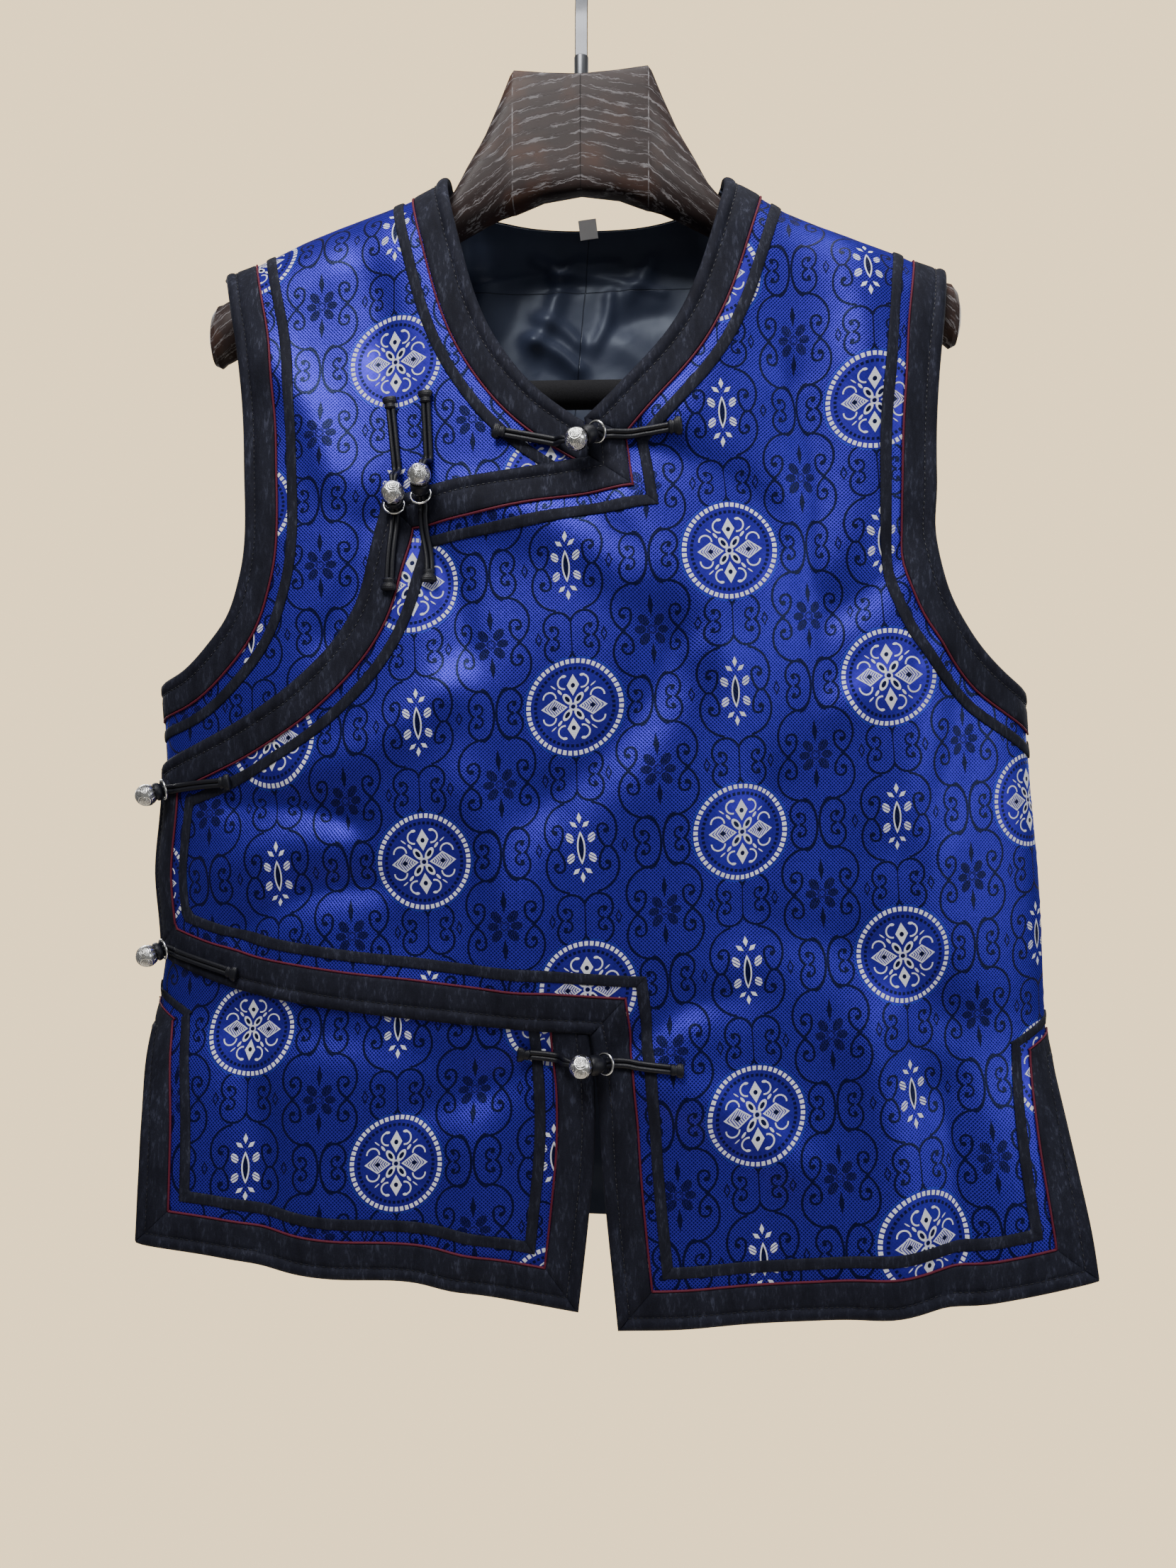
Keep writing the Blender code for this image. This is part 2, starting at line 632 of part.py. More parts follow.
def make_fronts():
    """Both fronts with their borders and bands."""
    outer, outer_armhole, inner_neck, inner_armhole, inner_lower = front_chains()
    right_seam = seam_line(
        side_edge(SLIT_RIGHT, PIT_RIGHT, 1),
        [on_side(SLIT_RIGHT, 1, -GABLE_RISE), on_side(PIT_RIGHT, 1, 1.0)],
        1,
    )
    right_shoulder = seam_line(
        shoulder_edge(TIP_RIGHT, NECK_RIGHT[0]),
        [on_shoulder(TIP_RIGHT, -1), on_shoulder(NECK_RIGHT[0], 1)],
        0,
    )
    outer_outline = np.concatenate(
        [outer.row(0)[:-1], right_seam[:-1], outer_armhole.row(0)[::-1][:-1], right_shoulder[:-1]]
    )
    left_seam = seam_line(
        side_edge(PIT_LEFT, SLIT_LEFT, -1),
        [on_side(PIT_LEFT, -1, 1.0), on_side(SLIT_LEFT, -1, -GABLE_RISE), on_side(FLAP_SIDE, -1, 0)],
        1,
    )
    left_shoulder = seam_line(
        shoulder_edge(NECK_LEFT[0], TIP_LEFT),
        [on_shoulder(TIP_LEFT, 1), on_shoulder(NECK_LEFT[0], -1)],
        0,
    )
    underlap = smooth_edge([(UNDERLAP, 347), (UNDERLAP, 400), (UNDERLAP, 640), (7, 672)], STATION)
    inner_outline = np.concatenate(
        [
            left_shoulder[:-1],
            inner_armhole.row(0)[:-1],
            left_seam[:-1],
            inner_lower.row(0)[:-1],
            underlap[::-1][:-1],
            inner_neck.row(0)[::-1][:-1],
        ]
    )
    lines = []
    for chain in (outer, outer_armhole, inner_neck, inner_armhole, inner_lower):
        lines += [chain.row(inset) for inset in ROWS]
    lap_line = outer.row(-LAP_CLEARANCE)
    near_neck = (np.abs(lap_line[:, 1] - 355) < 28) & (lap_line[:, 0] < 30)
    near_waist = (lap_line[:, 1] > 680) & (lap_line[:, 1] < 700) & (lap_line[:, 0] < 12)
    for chosen in (near_neck, near_waist):
        index = np.flatnonzero(chosen)
        lines.append(lap_line[index[0] : index[-1] + 1])
    lines += bend_lines(
        ((-1, PIT_LEFT + 30, FLAP_SIDE - 20), (1, PIT_RIGHT + 40, SLIT_RIGHT - 40)), False
    )
    sheet = Sheet([outer_outline, inner_outline], lines, False)
    sheet.piece(
        "inner_front", inside(sheet.centres, inner_outline), INNER_LAYER, PANEL_THICK, "brocade"
    )
    sheet.piece(
        "outer_front", inside(sheet.centres, outer_outline), OUTER_LAYER, PANEL_THICK, "brocade"
    )
    lapped = np.concatenate(
        [lap_line[:-1], right_seam[:-1], outer_armhole.row(0)[::-1][:-1], right_shoulder[:-1]]
    )
    trim_pieces(sheet, "outer_front", outer, OUTER_TRIM)
    trim_pieces(sheet, "right_armhole_front", outer_armhole, OUTER_TRIM)
    trim_pieces(sheet, "inner_neck", inner_neck, INNER_TRIM, clear_of=lapped)
    trim_pieces(sheet, "left_armhole_front", inner_armhole, INNER_TRIM)
    trim_pieces(sheet, "inner_lower", inner_lower, INNER_TRIM, clear_of=lapped)


def make_back():
    """The back with its lining, borders and bands."""
    neck, left_armhole, right_armhole, lower = back_chains()
    left_shoulder = seam_line(
        shoulder_edge(TIP_LEFT, NECK_LEFT[0]),
        [on_shoulder(TIP_LEFT, 1), on_shoulder(NECK_LEFT[0], -1)],
        0,
    )
    right_shoulder = seam_line(
        shoulder_edge(NECK_RIGHT[0], TIP_RIGHT),
        [on_shoulder(TIP_RIGHT, -1), on_shoulder(NECK_RIGHT[0], 1)],
        0,
    )
    right_seam = seam_line(
        side_edge(PIT_RIGHT, SLIT_RIGHT, 1, True),
        [on_side(PIT_RIGHT, 1, 1.0, True), on_side(SLIT_RIGHT, 1, -GABLE_RISE, True)],
        1,
    )
    left_seam = seam_line(
        side_edge(SLIT_LEFT, PIT_LEFT, -1, True),
        [on_side(PIT_LEFT, -1, 1.0, True), on_side(SLIT_LEFT, -1, -GABLE_RISE, True)],
        1,
    )
    outline = np.concatenate(
        [
            left_shoulder[:-1],
            neck.row(0)[:-1],
            right_shoulder[:-1],
            right_armhole.row(0)[:-1],
            right_seam[:-1],
            lower.row(0)[::-1][:-1],
            left_seam[:-1],
            left_armhole.row(0)[::-1][:-1],
        ]
    )
    lines = []
    for chain in (neck, left_armhole, right_armhole, lower):
        lines += [chain.row(inset) for inset in ROWS]
    lines += bend_lines(
        ((-1, PIT_LEFT + 40, SLIT_LEFT - 40), (1, PIT_RIGHT + 40, SLIT_RIGHT - 40)), True
    )
    sheet = Sheet([outline], lines, True)
    whole = inside(sheet.centres, outline)
    sheet.piece("back_lining", whole, LINING_LAYER, LINING_THICK, "lining")
    sheet.piece("back", whole, BACK_LAYER, PANEL_THICK, "brocade")
    trim_pieces(sheet, "back_neck", neck, BACK_TRIM)
    trim_pieces(sheet, "left_armhole_back", left_armhole, BACK_TRIM)
    trim_pieces(sheet, "right_armhole_back", right_armhole, BACK_TRIM)
    trim_pieces(sheet, "back_lower", lower, BACK_TRIM)


# Closures, hanger and tab.

CORD_HALF_WIDTH = 3.0
CORD_HALF_HEIGHT = 1.5
BALL_RADIUS = 6.9
CUP_CLEARANCE = 0.3
RING_RADIUS = 6.0
RING_WIRE_RADIUS = 0.75
SECTION_POINTS = 8

# Each closure in cloth coordinates: the centres of its silver ball and ring with their
# distances from the base surface, the lean of the ring's axis from the cloth, the wrapped
# end of its loop and of the ball's cord, and the height of the cloth below each cord.
Closure = namedtuple(
    "Closure",
    "name ball_across ball_down ball_out ring_across ring_down ring_out ring_rise"
    " loop_across loop_down loop_bed cord_across cord_down cord_bed",
)
CLOSURES = (
    Closure("neck", 1.1, 355, 17.1, 11.1, 348.6, 10.6, 46, 58.2, 343.5, 5.7, -45.4, 345.1, 3.9),
    Closure("chest_left", -106.4, 378.1, 18.7, -109.2, 385.6, 9.7, 60, -110.5, 434.9, 5.7, -112.1, 323.9, 2.2),
    Closure("chest_right", -87.6, 372.9, 18.7, -89.3, 381.3, 9.7, 60, -89.1, 430.6, 5.7, -89.8, 321.4, 2.2),
    Closure("waist", 4.0, 712.7, 17.1, 16.2, 713.9, 10.6, 46, 58.4, 717.2, 5.7, -31.4, 708.5, 3.9),
    Closure("side_upper", -265.5, 559.5, 18.2, -262, 555.7, 9.4, 68, -216.8, 550.3, 5.7, -236, 560, 3.1),
    Closure("side_lower", -264.5, 659.5, 18.3, -262, 655.4, 9.4, 72, -210.1, 667, 5.7, -236, 662, 3.1),
)

# The wooden hanger, from its middle to the end of an arm: heights of its top and bottom, its
# middle in depth, its half depth, how square its section is (2 is an ellipse), and how much
# the underside rises to the back.
Arm = namedtuple("Arm", "across top bottom middle half_depth power slope")
HANGER = (
    Arm(0, 106.4, 178.3, 0, 13, 6, 0.22),
    Arm(24, 104.8, 181, 0, 13, 6, 0.12),
    Arm(42, 102.2, 187.5, 0, 13, 5, 0),
    Arm(44.5, 105, 188.5, 0, 13, 4, 0),
    Arm(51, 120.5, 191, 0, 13.5, 3.2, 0),
    Arm(60, 140.5, 195.5, 0, 14, 2.7, 0),
    Arm(72, 162, 202, -0.5, 14.5, 2.4, 0),
    Arm(79, 175.5, 206, -1, 14.5, 2.2, 0),
    Arm(86, 184, 210, -1.5, 14, 2, 0),
    Arm(105, 193.8, 220, -2, 14, 2, 0),
    Arm(140, 212.1, 240, -3, 14, 2, 0),
    Arm(180, 227.1, 257, -5, 14.5, 2, 0),
    Arm(210, 239.1, 272, -7, 14.5, 2, 0),
    Arm(225, 246, 283, -9, 13, 2, 0),
    Arm(231.5, 251, 284, -9, 10.5, 2, 0),
    Arm(233.5, 258, 277, -9, 6, 2, 0),
)
HANGER_SLOPE = 0.012
HANGER_POINTS = 12

FERRULE_RADIUS = 4.5
FERRULE_TOP = 91.6
HOOK_RADIUS = 20.0
HOOK_WIDTH = 8.0
HOOK_THICK = 2.5
BAR_RADIUS = 9.0
BAR_HALF_LENGTH = 193.0
BAR_DROP = 307.5
BAR_DEPTH = -6.0
POST_ACROSS = 186.0
POST_RADIUS = 2.5

TAB_WIDTH = 11.8
TAB_LENGTH = 13.0
TAB_THICK = 0.6
TAB_MIDDLE = (3.0, 31.7, -185.9)
TAB_LEAN = -7.0


def unit(vector):
    return vector / np.linalg.norm(vector)


def sweep(name, centres, ups, half_widths, half_heights, finish, powers=None, count=SECTION_POINTS):
    """A closed body from rounded sections set square to a path."""
    centres = np.array(centres, float)
    tangents = np.gradient(centres, axis=0)
    points = []
    angles = np.arange(count) * 2 * pi / count
    for i, centre in enumerate(centres):
        ahead = unit(tangents[i])
        up = unit(ups[i] - ahead * (ups[i] @ ahead))
        side = np.cross(ahead, up)
        power = 2 / (powers[i] if powers else 2)
        wide = np.sign(np.cos(angles)) * np.abs(np.cos(angles)) ** power * half_widths[i]
        high = np.sign(np.sin(angles)) * np.abs(np.sin(angles)) ** power * half_heights[i]
        points += [centre + side * w + up * h for w, h in zip(wide, high)]
    faces = []
    for i in range(len(centres) - 1):
        for k in range(count):
            a = i * count + k
            b = i * count + (k + 1) % count
            faces.append((a, a + count, b + count, b))
    faces.append(tuple(range(count)))
    last = (len(centres) - 1) * count
    faces.append(tuple(last + k for k in reversed(range(count))))
    mesh = bpy.data.meshes.new(name)
    mesh.from_pydata((np.array(points) * MM).tolist(), [], faces)
    tidy = bmesh.new()
    tidy.from_mesh(mesh)
    bmesh.ops.recalc_face_normals(tidy, faces=tidy.faces)
    tidy.to_mesh(mesh)
    tidy.free()
    return add_object(name, mesh, finish)


# Distance from the cord's wrapped end, half width and half height.
Wrap = namedtuple("Wrap", "along half_width half_height")
KNOT = (
    Wrap(-4.0, 1.6, 1.0),
    Wrap(-2.6, 3.8, 2.0),
    Wrap(1.0, 4.2, 2.3),
    Wrap(3.6, 3.4, 1.8),
    Wrap(5.0, CORD_HALF_WIDTH, CORD_HALF_HEIGHT),
)

# Distance from the ring towards the ball as a share of the way to the ball's cup, and radius.
Collar = namedtuple("Collar", "share radius")
COLLAR = (
    Collar(0.12, 2.4),
    Collar(0.26, 3.6),
    Collar(0.48, 5.2),
    Collar(0.80, 5.6),
    Collar(1.00, 5.2),
)


def laid_cord(start, end, bed, back, spacing=12.0):
    """Stations of a cord that lies on the cloth, from its wrapped end."""
    start = np.array(start, float)
    end = np.array(end, float)
    run = end - start
    length = np.hypot(*run)
    ahead = run / length
    along = [w.along for w in KNOT]
    wide = [w.half_width for w in KNOT]
    high = [w.half_height for w in KNOT]
    count = max(1, round((length - 5.0) / spacing))
    for i in range(1, count + 1):
        along.append(5.0 + (length - 5.0) * i / count)
        wide.append(CORD_HALF_WIDTH)
        high.append(CORD_HALF_HEIGHT)
    flat = start + np.outer(along, ahead)
    out = bed + np.array([max(h, CORD_HALF_HEIGHT) for h in high])
    centres = list(cloth_at(flat[:, 0], flat[:, 1], out, back))
    ups = list(cloth_normal(flat[:, 0], flat[:, 1], back))
    return centres, ups, wide, high


def make_closure(closure):
    """A silver ball on its cord, and the ring and loop that hold it."""
    c = closure
    ball = cloth_at(c.ball_across, c.ball_down, c.ball_out)
    ring = cloth_at(c.ring_across, c.ring_down, c.ring_out)
    normal = cloth_normal(c.ring_across, c.ring_down)
    towards = ball - ring
    flat_towards = towards - normal * (towards @ normal)
    if c.ring_rise < 90:
        lean = unit(flat_towards) * cos(radians(c.ring_rise)) + normal * sin(radians(c.ring_rise))
    else:
        lean = normal

    sphere = bmesh.new()
    bmesh.ops.create_uvsphere(sphere, u_segments=10, v_segments=7, radius=BALL_RADIUS * MM)
    mesh = bpy.data.meshes.new("ball_" + c.name)
    sphere.to_mesh(mesh)
    sphere.free()
    obj = add_object("ball_" + c.name, mesh, "silver")
    obj.location = Vector(ball * MM)
    obj.rotation_euler = Vector(towards).to_track_quat("Z", "Y").to_euler()

    profile = bpy.data.meshes.new("ring_" + c.name)
    angles = np.arange(5) * 2 * pi / 5
    circle = [
        ((RING_RADIUS + RING_WIRE_RADIUS * cos(a)) * MM, 0, RING_WIRE_RADIUS * sin(a) * MM)
        for a in angles
    ]
    profile.from_pydata(circle, [(i, (i + 1) % 5) for i in range(5)], [])
    obj = add_object("ring_" + c.name, profile, "silver")
    turned = obj.modifiers.new("turned", "SCREW")
    turned.steps = turned.render_steps = 12
    turned.use_merge_vertices = True
    turned.merge_threshold = 0.00001
    turned.use_normal_calculate = True
    obj.location = Vector(ring * MM)
    obj.rotation_euler = Vector(lean).to_track_quat("Z", "Y").to_euler()

    ring_flat = np.array([c.ring_across, c.ring_down], float)
    knot = np.array([c.loop_across, c.loop_down], float)
    ahead = (ring_flat - knot) / np.hypot(*(ring_flat - knot))
    before = ring_flat - ahead * 9.5
    centres, ups, wide, high = laid_cord(knot, before, c.loop_bed, False)
    for gap in (7.0, 4.6):
        spot = ring_flat - ahead * gap
        centres.append(cloth_at(*spot, c.loop_bed + 0.95))
        ups.append(cloth_normal(*spot))
        wide.append(2.6)
        high.append(0.9)
    axis = unit(towards)
    reach = np.linalg.norm(towards)
    centres.append(ring - lean * (1.2 if c.ring_rise < 90 else 0.6))
    ups.append(normal)
    wide.append(2.4)
    high.append(1.3)
    cup = BALL_RADIUS + CUP_CLEARANCE
    lip = reach - np.sqrt(cup**2 - COLLAR[-1].radius ** 2)
    for row in COLLAR:
        centres.append(ring + axis * row.share * lip)
        ups.append(normal - axis * 0.3)
        wide.append(row.radius)
        high.append(row.radius)
    for radius in (3.6, 0.6):
        centres.append(ring + axis * (reach - np.sqrt(cup**2 - radius**2)))
        ups.append(normal - axis * 0.3)
        wide.append(radius)
        high.append(radius)
    loop_sweep("loop_" + c.name, centres, ups, wide, high, axis, 2 + len(COLLAR))

    on_back = c.name.startswith("side")
    cord_end = np.array([c.cord_across, c.cord_down], float)
    if on_back:
        edge = np.array([-256.0, c.ball_down])
        centres, ups, wide, high = laid_cord(cord_end, edge, c.cord_bed, True)
        way_in = unit(np.array([0.05, 1.0, 0.0]))
        centres.append(np.array([-274.0, 10.0, -c.ball_down]))
        ups.append(np.array([-1.0, 0.5, 0.0]))
        wide.append(2.8)
        high.append(1.5)
        centres.append(ball + way_in * (BALL_RADIUS + 5.5))
        centres.append(ball + way_in * (BALL_RADIUS + 0.4))
        ups += [np.array([-1.0, 0.1, 0.0])] * 2
    else:
        ball_flat = np.array([c.ball_across, c.ball_down], float)
        ahead = (ball_flat - cord_end) / np.hypot(*(ball_flat - cord_end))
        near = ball_flat - ahead * 14.0
        centres, ups, wide, high = laid_cord(cord_end, near, c.cord_bed, False)
        here = cloth_normal(*ball_flat)
        back_along = unit(centres[-1] - ball - here * ((centres[-1] - ball) @ here))
        way_in = unit(back_along - here * 0.75)
        centres.append(ball + way_in * (BALL_RADIUS + 3.4) + back_along * 1.0)
        centres.append(ball + way_in * (BALL_RADIUS + 0.4))
        ups += [here, here + back_along]
    wide += [2.4, 1.7]
    high += [1.5, 1.4]
    sweep("cord_" + c.name, centres, ups, wide, high, "cord")


def loop_sweep(name, centres, ups, wide, high, axis, straight):
    """A loop's cord that widens into its round collar, whose sections stay square to the ball's axis."""
    centres = np.array(centres, float)
    tangents = np.gradient(centres, axis=0)
    tangents[-straight:] = axis
    points = []
    angles = np.arange(SECTION_POINTS) * 2 * pi / SECTION_POINTS
    for i, centre in enumerate(centres):
        ahead = unit(tangents[i])
        up = unit(ups[i] - ahead * (ups[i] @ ahead))
        side = np.cross(ahead, up)
        points += [centre + side * cos(a) * wide[i] + up * sin(a) * high[i] for a in angles]
    n = SECTION_POINTS
    faces = []
    for i in range(len(centres) - 1):
        for k in range(n):
            a = i * n + k
            b = i * n + (k + 1) % n
            faces.append((a, a + n, b + n, b))
    faces.append(tuple(range(n)))
    last = (len(centres) - 1) * n
    faces.append(tuple(last + k for k in reversed(range(n))))
    mesh = bpy.data.meshes.new(name)
    mesh.from_pydata((np.array(points) * MM).tolist(), [], faces)
    tidy = bmesh.new()
    tidy.from_mesh(mesh)
    bmesh.ops.recalc_face_normals(tidy, faces=tidy.faces)
    tidy.to_mesh(mesh)
    tidy.free()
    return add_object(name, mesh, "cord")


def hanger_bottom(across):
    bottom = np.interp(abs(across), [a.across for a in HANGER], [a.bottom for a in HANGER])
    return bottom - HANGER_SLOPE * across


def make_hanger():
    rows = [a._replace(across=-a.across) for a in HANGER[:0:-1]] + list(HANGER)
    centres = [
        np.array([a.across, a.middle, -(a.top + a.bottom) / 2 + HANGER_SLOPE * a.across])
        for a in rows
    ]
    points, faces = [], []
    n = HANGER_POINTS
    for a, centre in zip(rows, centres):
        for k in range(n):
            angle = (k + 0.5) * 2 * pi / n
            share = 2 / a.power
            y = np.sign(cos(angle)) * abs(cos(angle)) ** share * a.half_depth
            z = np.sign(sin(angle)) * abs(sin(angle)) ** share * (a.bottom - a.top) / 2
            if z < 0:
                z += a.slope * y
            points.append(centre + np.array([0, y, z]))
    for i in range(len(rows) - 1):
        for k in range(n):
            a = i * n + k
            b = i * n + (k + 1) % n
            faces.append((a, b, b + n, a + n))
    faces.append(tuple(reversed(range(n))))
    last = (len(rows) - 1) * n
    faces.append(tuple(last + k for k in range(n)))
    mesh = bpy.data.meshes.new("hanger_arms")
    mesh.from_pydata((np.array(points) * MM).tolist(), [], faces)
    add_object("hanger_arms", mesh, "wood")

    rod("hanger_bar", (0, BAR_DEPTH, -BAR_DROP), 2 * BAR_HALF_LENGTH, BAR_RADIUS, "flock", True, 14)
    for side, name in ((-1, "bar_post_left"), (1, "bar_post_right")):
        top = hanger_bottom(side * POST_ACROSS) + 1.2
        low = BAR_DROP - BAR_RADIUS - GAP
        middle = (side * POST_ACROSS, BAR_DEPTH, -(top + low) / 2)
        rod(name, middle, low - top, POST_RADIUS, "steel", False, 10)
    block_top = HANGER[0].top - GAP
    middle = (0, 0, -(FERRULE_TOP + block_top) / 2)
    rod("ferrule", middle, block_top - FERRULE_TOP, FERRULE_RADIUS, "steel", False, 16)
    make_hook()


def rod(name, middle, length, radius, finish, lies_across, segments):
    body = bmesh.new()
    bmesh.ops.create_cone(
        body, cap_ends=True, segments=segments, radius1=radius * MM, radius2=radius * MM,
        depth=length * MM,
    )
    if lies_across:
        bmesh.ops.rotate(body, verts=body.verts, matrix=Matrix.Rotation(pi / 2, 3, "Y"))
    mesh = bpy.data.meshes.new(name)
    body.to_mesh(mesh)
    body.free()
    obj = add_object(name, mesh, finish)
    obj.location = Vector(middle) * MM
    if name == "hanger_bar":
        soft = obj.modifiers.new("rounded_ends", "BEVEL")
        soft.width = 3 * MM
        soft.segments = 2
        soft.limit_method = "ANGLE"
        soft.angle_limit = radians(60)


def make_hook():
    """The hook, a flat steel bar bent the easy way, as a ribbon given its thickness by Solidify."""
    radius = HOOK_RADIUS + HOOK_THICK / 2
    path = [(0, -FERRULE_TOP + GAP), (0, -72), (0.9, -62), (4.4, -52), (10.8, -42.5)]
    for degrees in range(-30, 206, 15):
        angle = radians(degrees)
        path.append((radius * cos(angle), -HOOK_RADIUS + radius * sin(angle)))
    path.append((-20.5, -34))
    points, faces = [], []
    for i, (y, z) in enumerate(path):
        points += [(-HOOK_WIDTH / 2 * MM, y * MM, z * MM), (HOOK_WIDTH / 2 * MM, y * MM, z * MM)]
        if i:
            faces.append((2 * i - 2, 2 * i - 1, 2 * i + 1, 2 * i))
    mesh = bpy.data.meshes.new("hook")
    mesh.from_pydata(points, [], faces)
    obj = add_object("hook", mesh, "steel")
    wall = obj.modifiers.new("thickness", "SOLIDIFY")
    wall.thickness = HOOK_THICK * MM
    wall.offset = 0
    wall.use_even_offset = True


def make_tab():
    """The blank tab, which stands up from the lining at the back of the neck."""
    body = bmesh.new()
    bmesh.ops.create_grid(body, x_segments=3, y_segments=3, size=0.5)
    bmesh.ops.scale(body, vec=(TAB_WIDTH * MM, TAB_LENGTH * MM, 1), verts=body.verts)
    bmesh.ops.rotate(body, verts=body.verts, matrix=Matrix.Rotation(pi / 2, 3, "X"))
    bmesh.ops.rotate(body, verts=body.verts, matrix=Matrix.Rotation(radians(TAB_LEAN), 3, "Y"))
    mesh = bpy.data.meshes.new("neck_tab")
    body.to_mesh(mesh)
    body.free()
    obj = add_object("neck_tab", mesh, "tab")
    obj.location = Vector(TAB_MIDDLE) * MM
    wall = obj.modifiers.new("wall", "SOLIDIFY")
    wall.thickness = TAB_THICK * MM
    wall.offset = 0


# Materials and objects.

Finish = namedtuple("Finish", "colour roughness metallic")
FINISHES = {
    "brocade": Finish((0.010, 0.035, 0.42), 0.38, 0.0),
    "suede": Finish((0.016, 0.017, 0.022), 0.75, 0.0),
    "lining": Finish((0.012, 0.014, 0.022), 0.35, 0.0),
    "cord": Finish((0.008, 0.009, 0.013), 0.42, 0.0),
    "silver": Finish((0.80, 0.80, 0.79), 0.25, 1.0),
    "wood": Finish((0.045, 0.030, 0.024), 0.50, 0.0),
    "steel": Finish((0.42, 0.43, 0.45), 0.30, 1.0),
    "flock": Finish((0.012, 0.012, 0.014), 0.95, 0.0),
    "tab": Finish((0.55, 0.56, 0.58), 0.80, 0.0),
}


def new_material(name, finish):
    material = bpy.data.materials.new(name)
    material.use_nodes = True
    shader = material.node_tree.nodes["Principled BSDF"]
    shader.inputs["Base Color"].default_value = (*finish.colour, 1)
    shader.inputs["Roughness"].default_value = finish.roughness
    shader.inputs["Metallic"].default_value = finish.metallic
    return material


def add_object(name, mesh, finish):
    obj = bpy.data.objects.new(name, mesh)
    mesh.materials.append(new_material(name, FINISHES[finish]))
    PARTS.objects.link(obj)
    return obj


def clear_scene():
    for obj in list(bpy.data.objects):
        bpy.data.objects.remove(obj, do_unlink=True)


clear_scene()
PARTS = bpy.data.collections.new("mongolian_vest_on_hanger")
bpy.context.scene.collection.children.link(PARTS)
make_fronts()
make_back()
for closure in CLOSURES:
    make_closure(closure)
make_hanger()
make_tab()
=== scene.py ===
from collections import namedtuple
from functools import partialmethod
from math import cos, pi, radians, sin, tan

import bmesh
import bpy
import numpy as np
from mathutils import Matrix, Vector
from mathutils.geometry import delaunay_2d_cdt
from mathutils.kdtree import KDTree


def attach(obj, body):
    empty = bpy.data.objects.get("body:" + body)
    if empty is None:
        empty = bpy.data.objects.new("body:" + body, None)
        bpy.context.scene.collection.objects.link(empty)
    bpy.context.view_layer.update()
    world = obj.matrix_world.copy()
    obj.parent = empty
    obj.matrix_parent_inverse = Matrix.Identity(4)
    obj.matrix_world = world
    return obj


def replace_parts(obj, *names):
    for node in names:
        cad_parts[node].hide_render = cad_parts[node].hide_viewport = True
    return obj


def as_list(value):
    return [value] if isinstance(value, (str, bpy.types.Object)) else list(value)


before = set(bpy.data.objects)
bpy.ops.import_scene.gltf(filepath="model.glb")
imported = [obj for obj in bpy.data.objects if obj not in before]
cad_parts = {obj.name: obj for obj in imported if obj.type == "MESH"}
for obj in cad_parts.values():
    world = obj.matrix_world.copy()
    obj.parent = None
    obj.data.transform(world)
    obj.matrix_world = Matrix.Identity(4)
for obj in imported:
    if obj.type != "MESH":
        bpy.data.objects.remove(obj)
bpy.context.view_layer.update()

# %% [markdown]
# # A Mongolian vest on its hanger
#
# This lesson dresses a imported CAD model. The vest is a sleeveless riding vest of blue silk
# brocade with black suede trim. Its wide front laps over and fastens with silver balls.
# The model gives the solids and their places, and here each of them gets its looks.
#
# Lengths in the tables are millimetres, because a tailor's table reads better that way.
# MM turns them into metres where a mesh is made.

MM = 0.001
BODY = "root"

# %% [markdown]
# ## The camera
#
# The photograph was taken from about three quarters of a metre in front, at the height of the
# lower chest, and from a little to the right. The camera comes first. A level camera keeps
# the vest's sides parallel.

# %% Camera
CAMERA_PLACE = (36.8, -745.1, -552.0)
CAMERA_YAW = 2.5
CAMERA_LENS = 27.03

camera_data = bpy.data.cameras.new("camera")
camera_data.lens = CAMERA_LENS
camera_data.sensor_width = 36.0
camera_data.clip_start = 0.02
camera = bpy.data.objects.new("camera", camera_data)
camera.location = Vector(CAMERA_PLACE) * MM
camera.rotation_euler = (radians(90), 0, radians(CAMERA_YAW))
bpy.context.scene.collection.objects.link(camera)
bpy.context.scene.camera = camera
print("camera at", tuple(round(x, 3) for x in camera.location))

# %% [markdown]
# ## The cloth's own coordinates
#
# A tailor draws each piece flat. Here too every piece is drawn flat: "across" runs along the
# cloth from the middle of the hanger, "down" runs along the cloth from the height of the hook,
# and "out" is the height above the body. One function then hangs these flat points over the
# hanger and round the body. Trim, piping, stitches and cords are all drawn flat and hung
# through the same function, so they always lie on the cloth below them.

# %% Thicknesses and layers
# Cloth thicknesses and the gap between touching pieces.
GAP = 0.3
PANEL_THICK = 1.5
LINING_THICK = 1.0

# Distance of each layer's inner face from the base surface.
INNER_LAYER = 0.0
OUTER_LAYER = PANEL_THICK + GAP
LINING_LAYER = 0.0
BACK_LAYER = LINING_THICK + GAP


def table(kind, *rows):
    """Rows of plain numbers as named tuples."""
    return tuple(kind(*row) for row in rows)

# %% The hanging vest's sections
# Horizontal sections of the hanging vest, from the neck to the hem: half-widths to the
# viewer's left and right, depths in front of and behind the hanger, and how far each panel's
# side edge stands off the middle where the side slits are open.
Section = namedtuple("Section", "drop left right front back lip_left lip_right lip_back")
SECTIONS = table(
    Section,
    (165, 280, 280, 48, 42, 0, 0, 0), (300, 274, 276, 52, 44, 0, 0, 0),
    (487, 267, 272, 58, 46, 0, 0, 0), (558, 264.5, 277, 59, 46, 0, 0, 0),
    (608, 268.5, 281.5, 59, 46, 0, 0, 0), (659, 265, 284, 60, 46, 0, 0, 0),
    (690, 268.5, 285, 60, 46, 0, 0, 0), (720, 268, 286, 60, 46, 20, 6, 5),
    (757, 266, 289, 60, 46, 34, 26, 12), (815, 266, 297, 61, 46, 43, 48, 20),
    (880, 268, 304, 62, 46, 48, 60, 24),
)
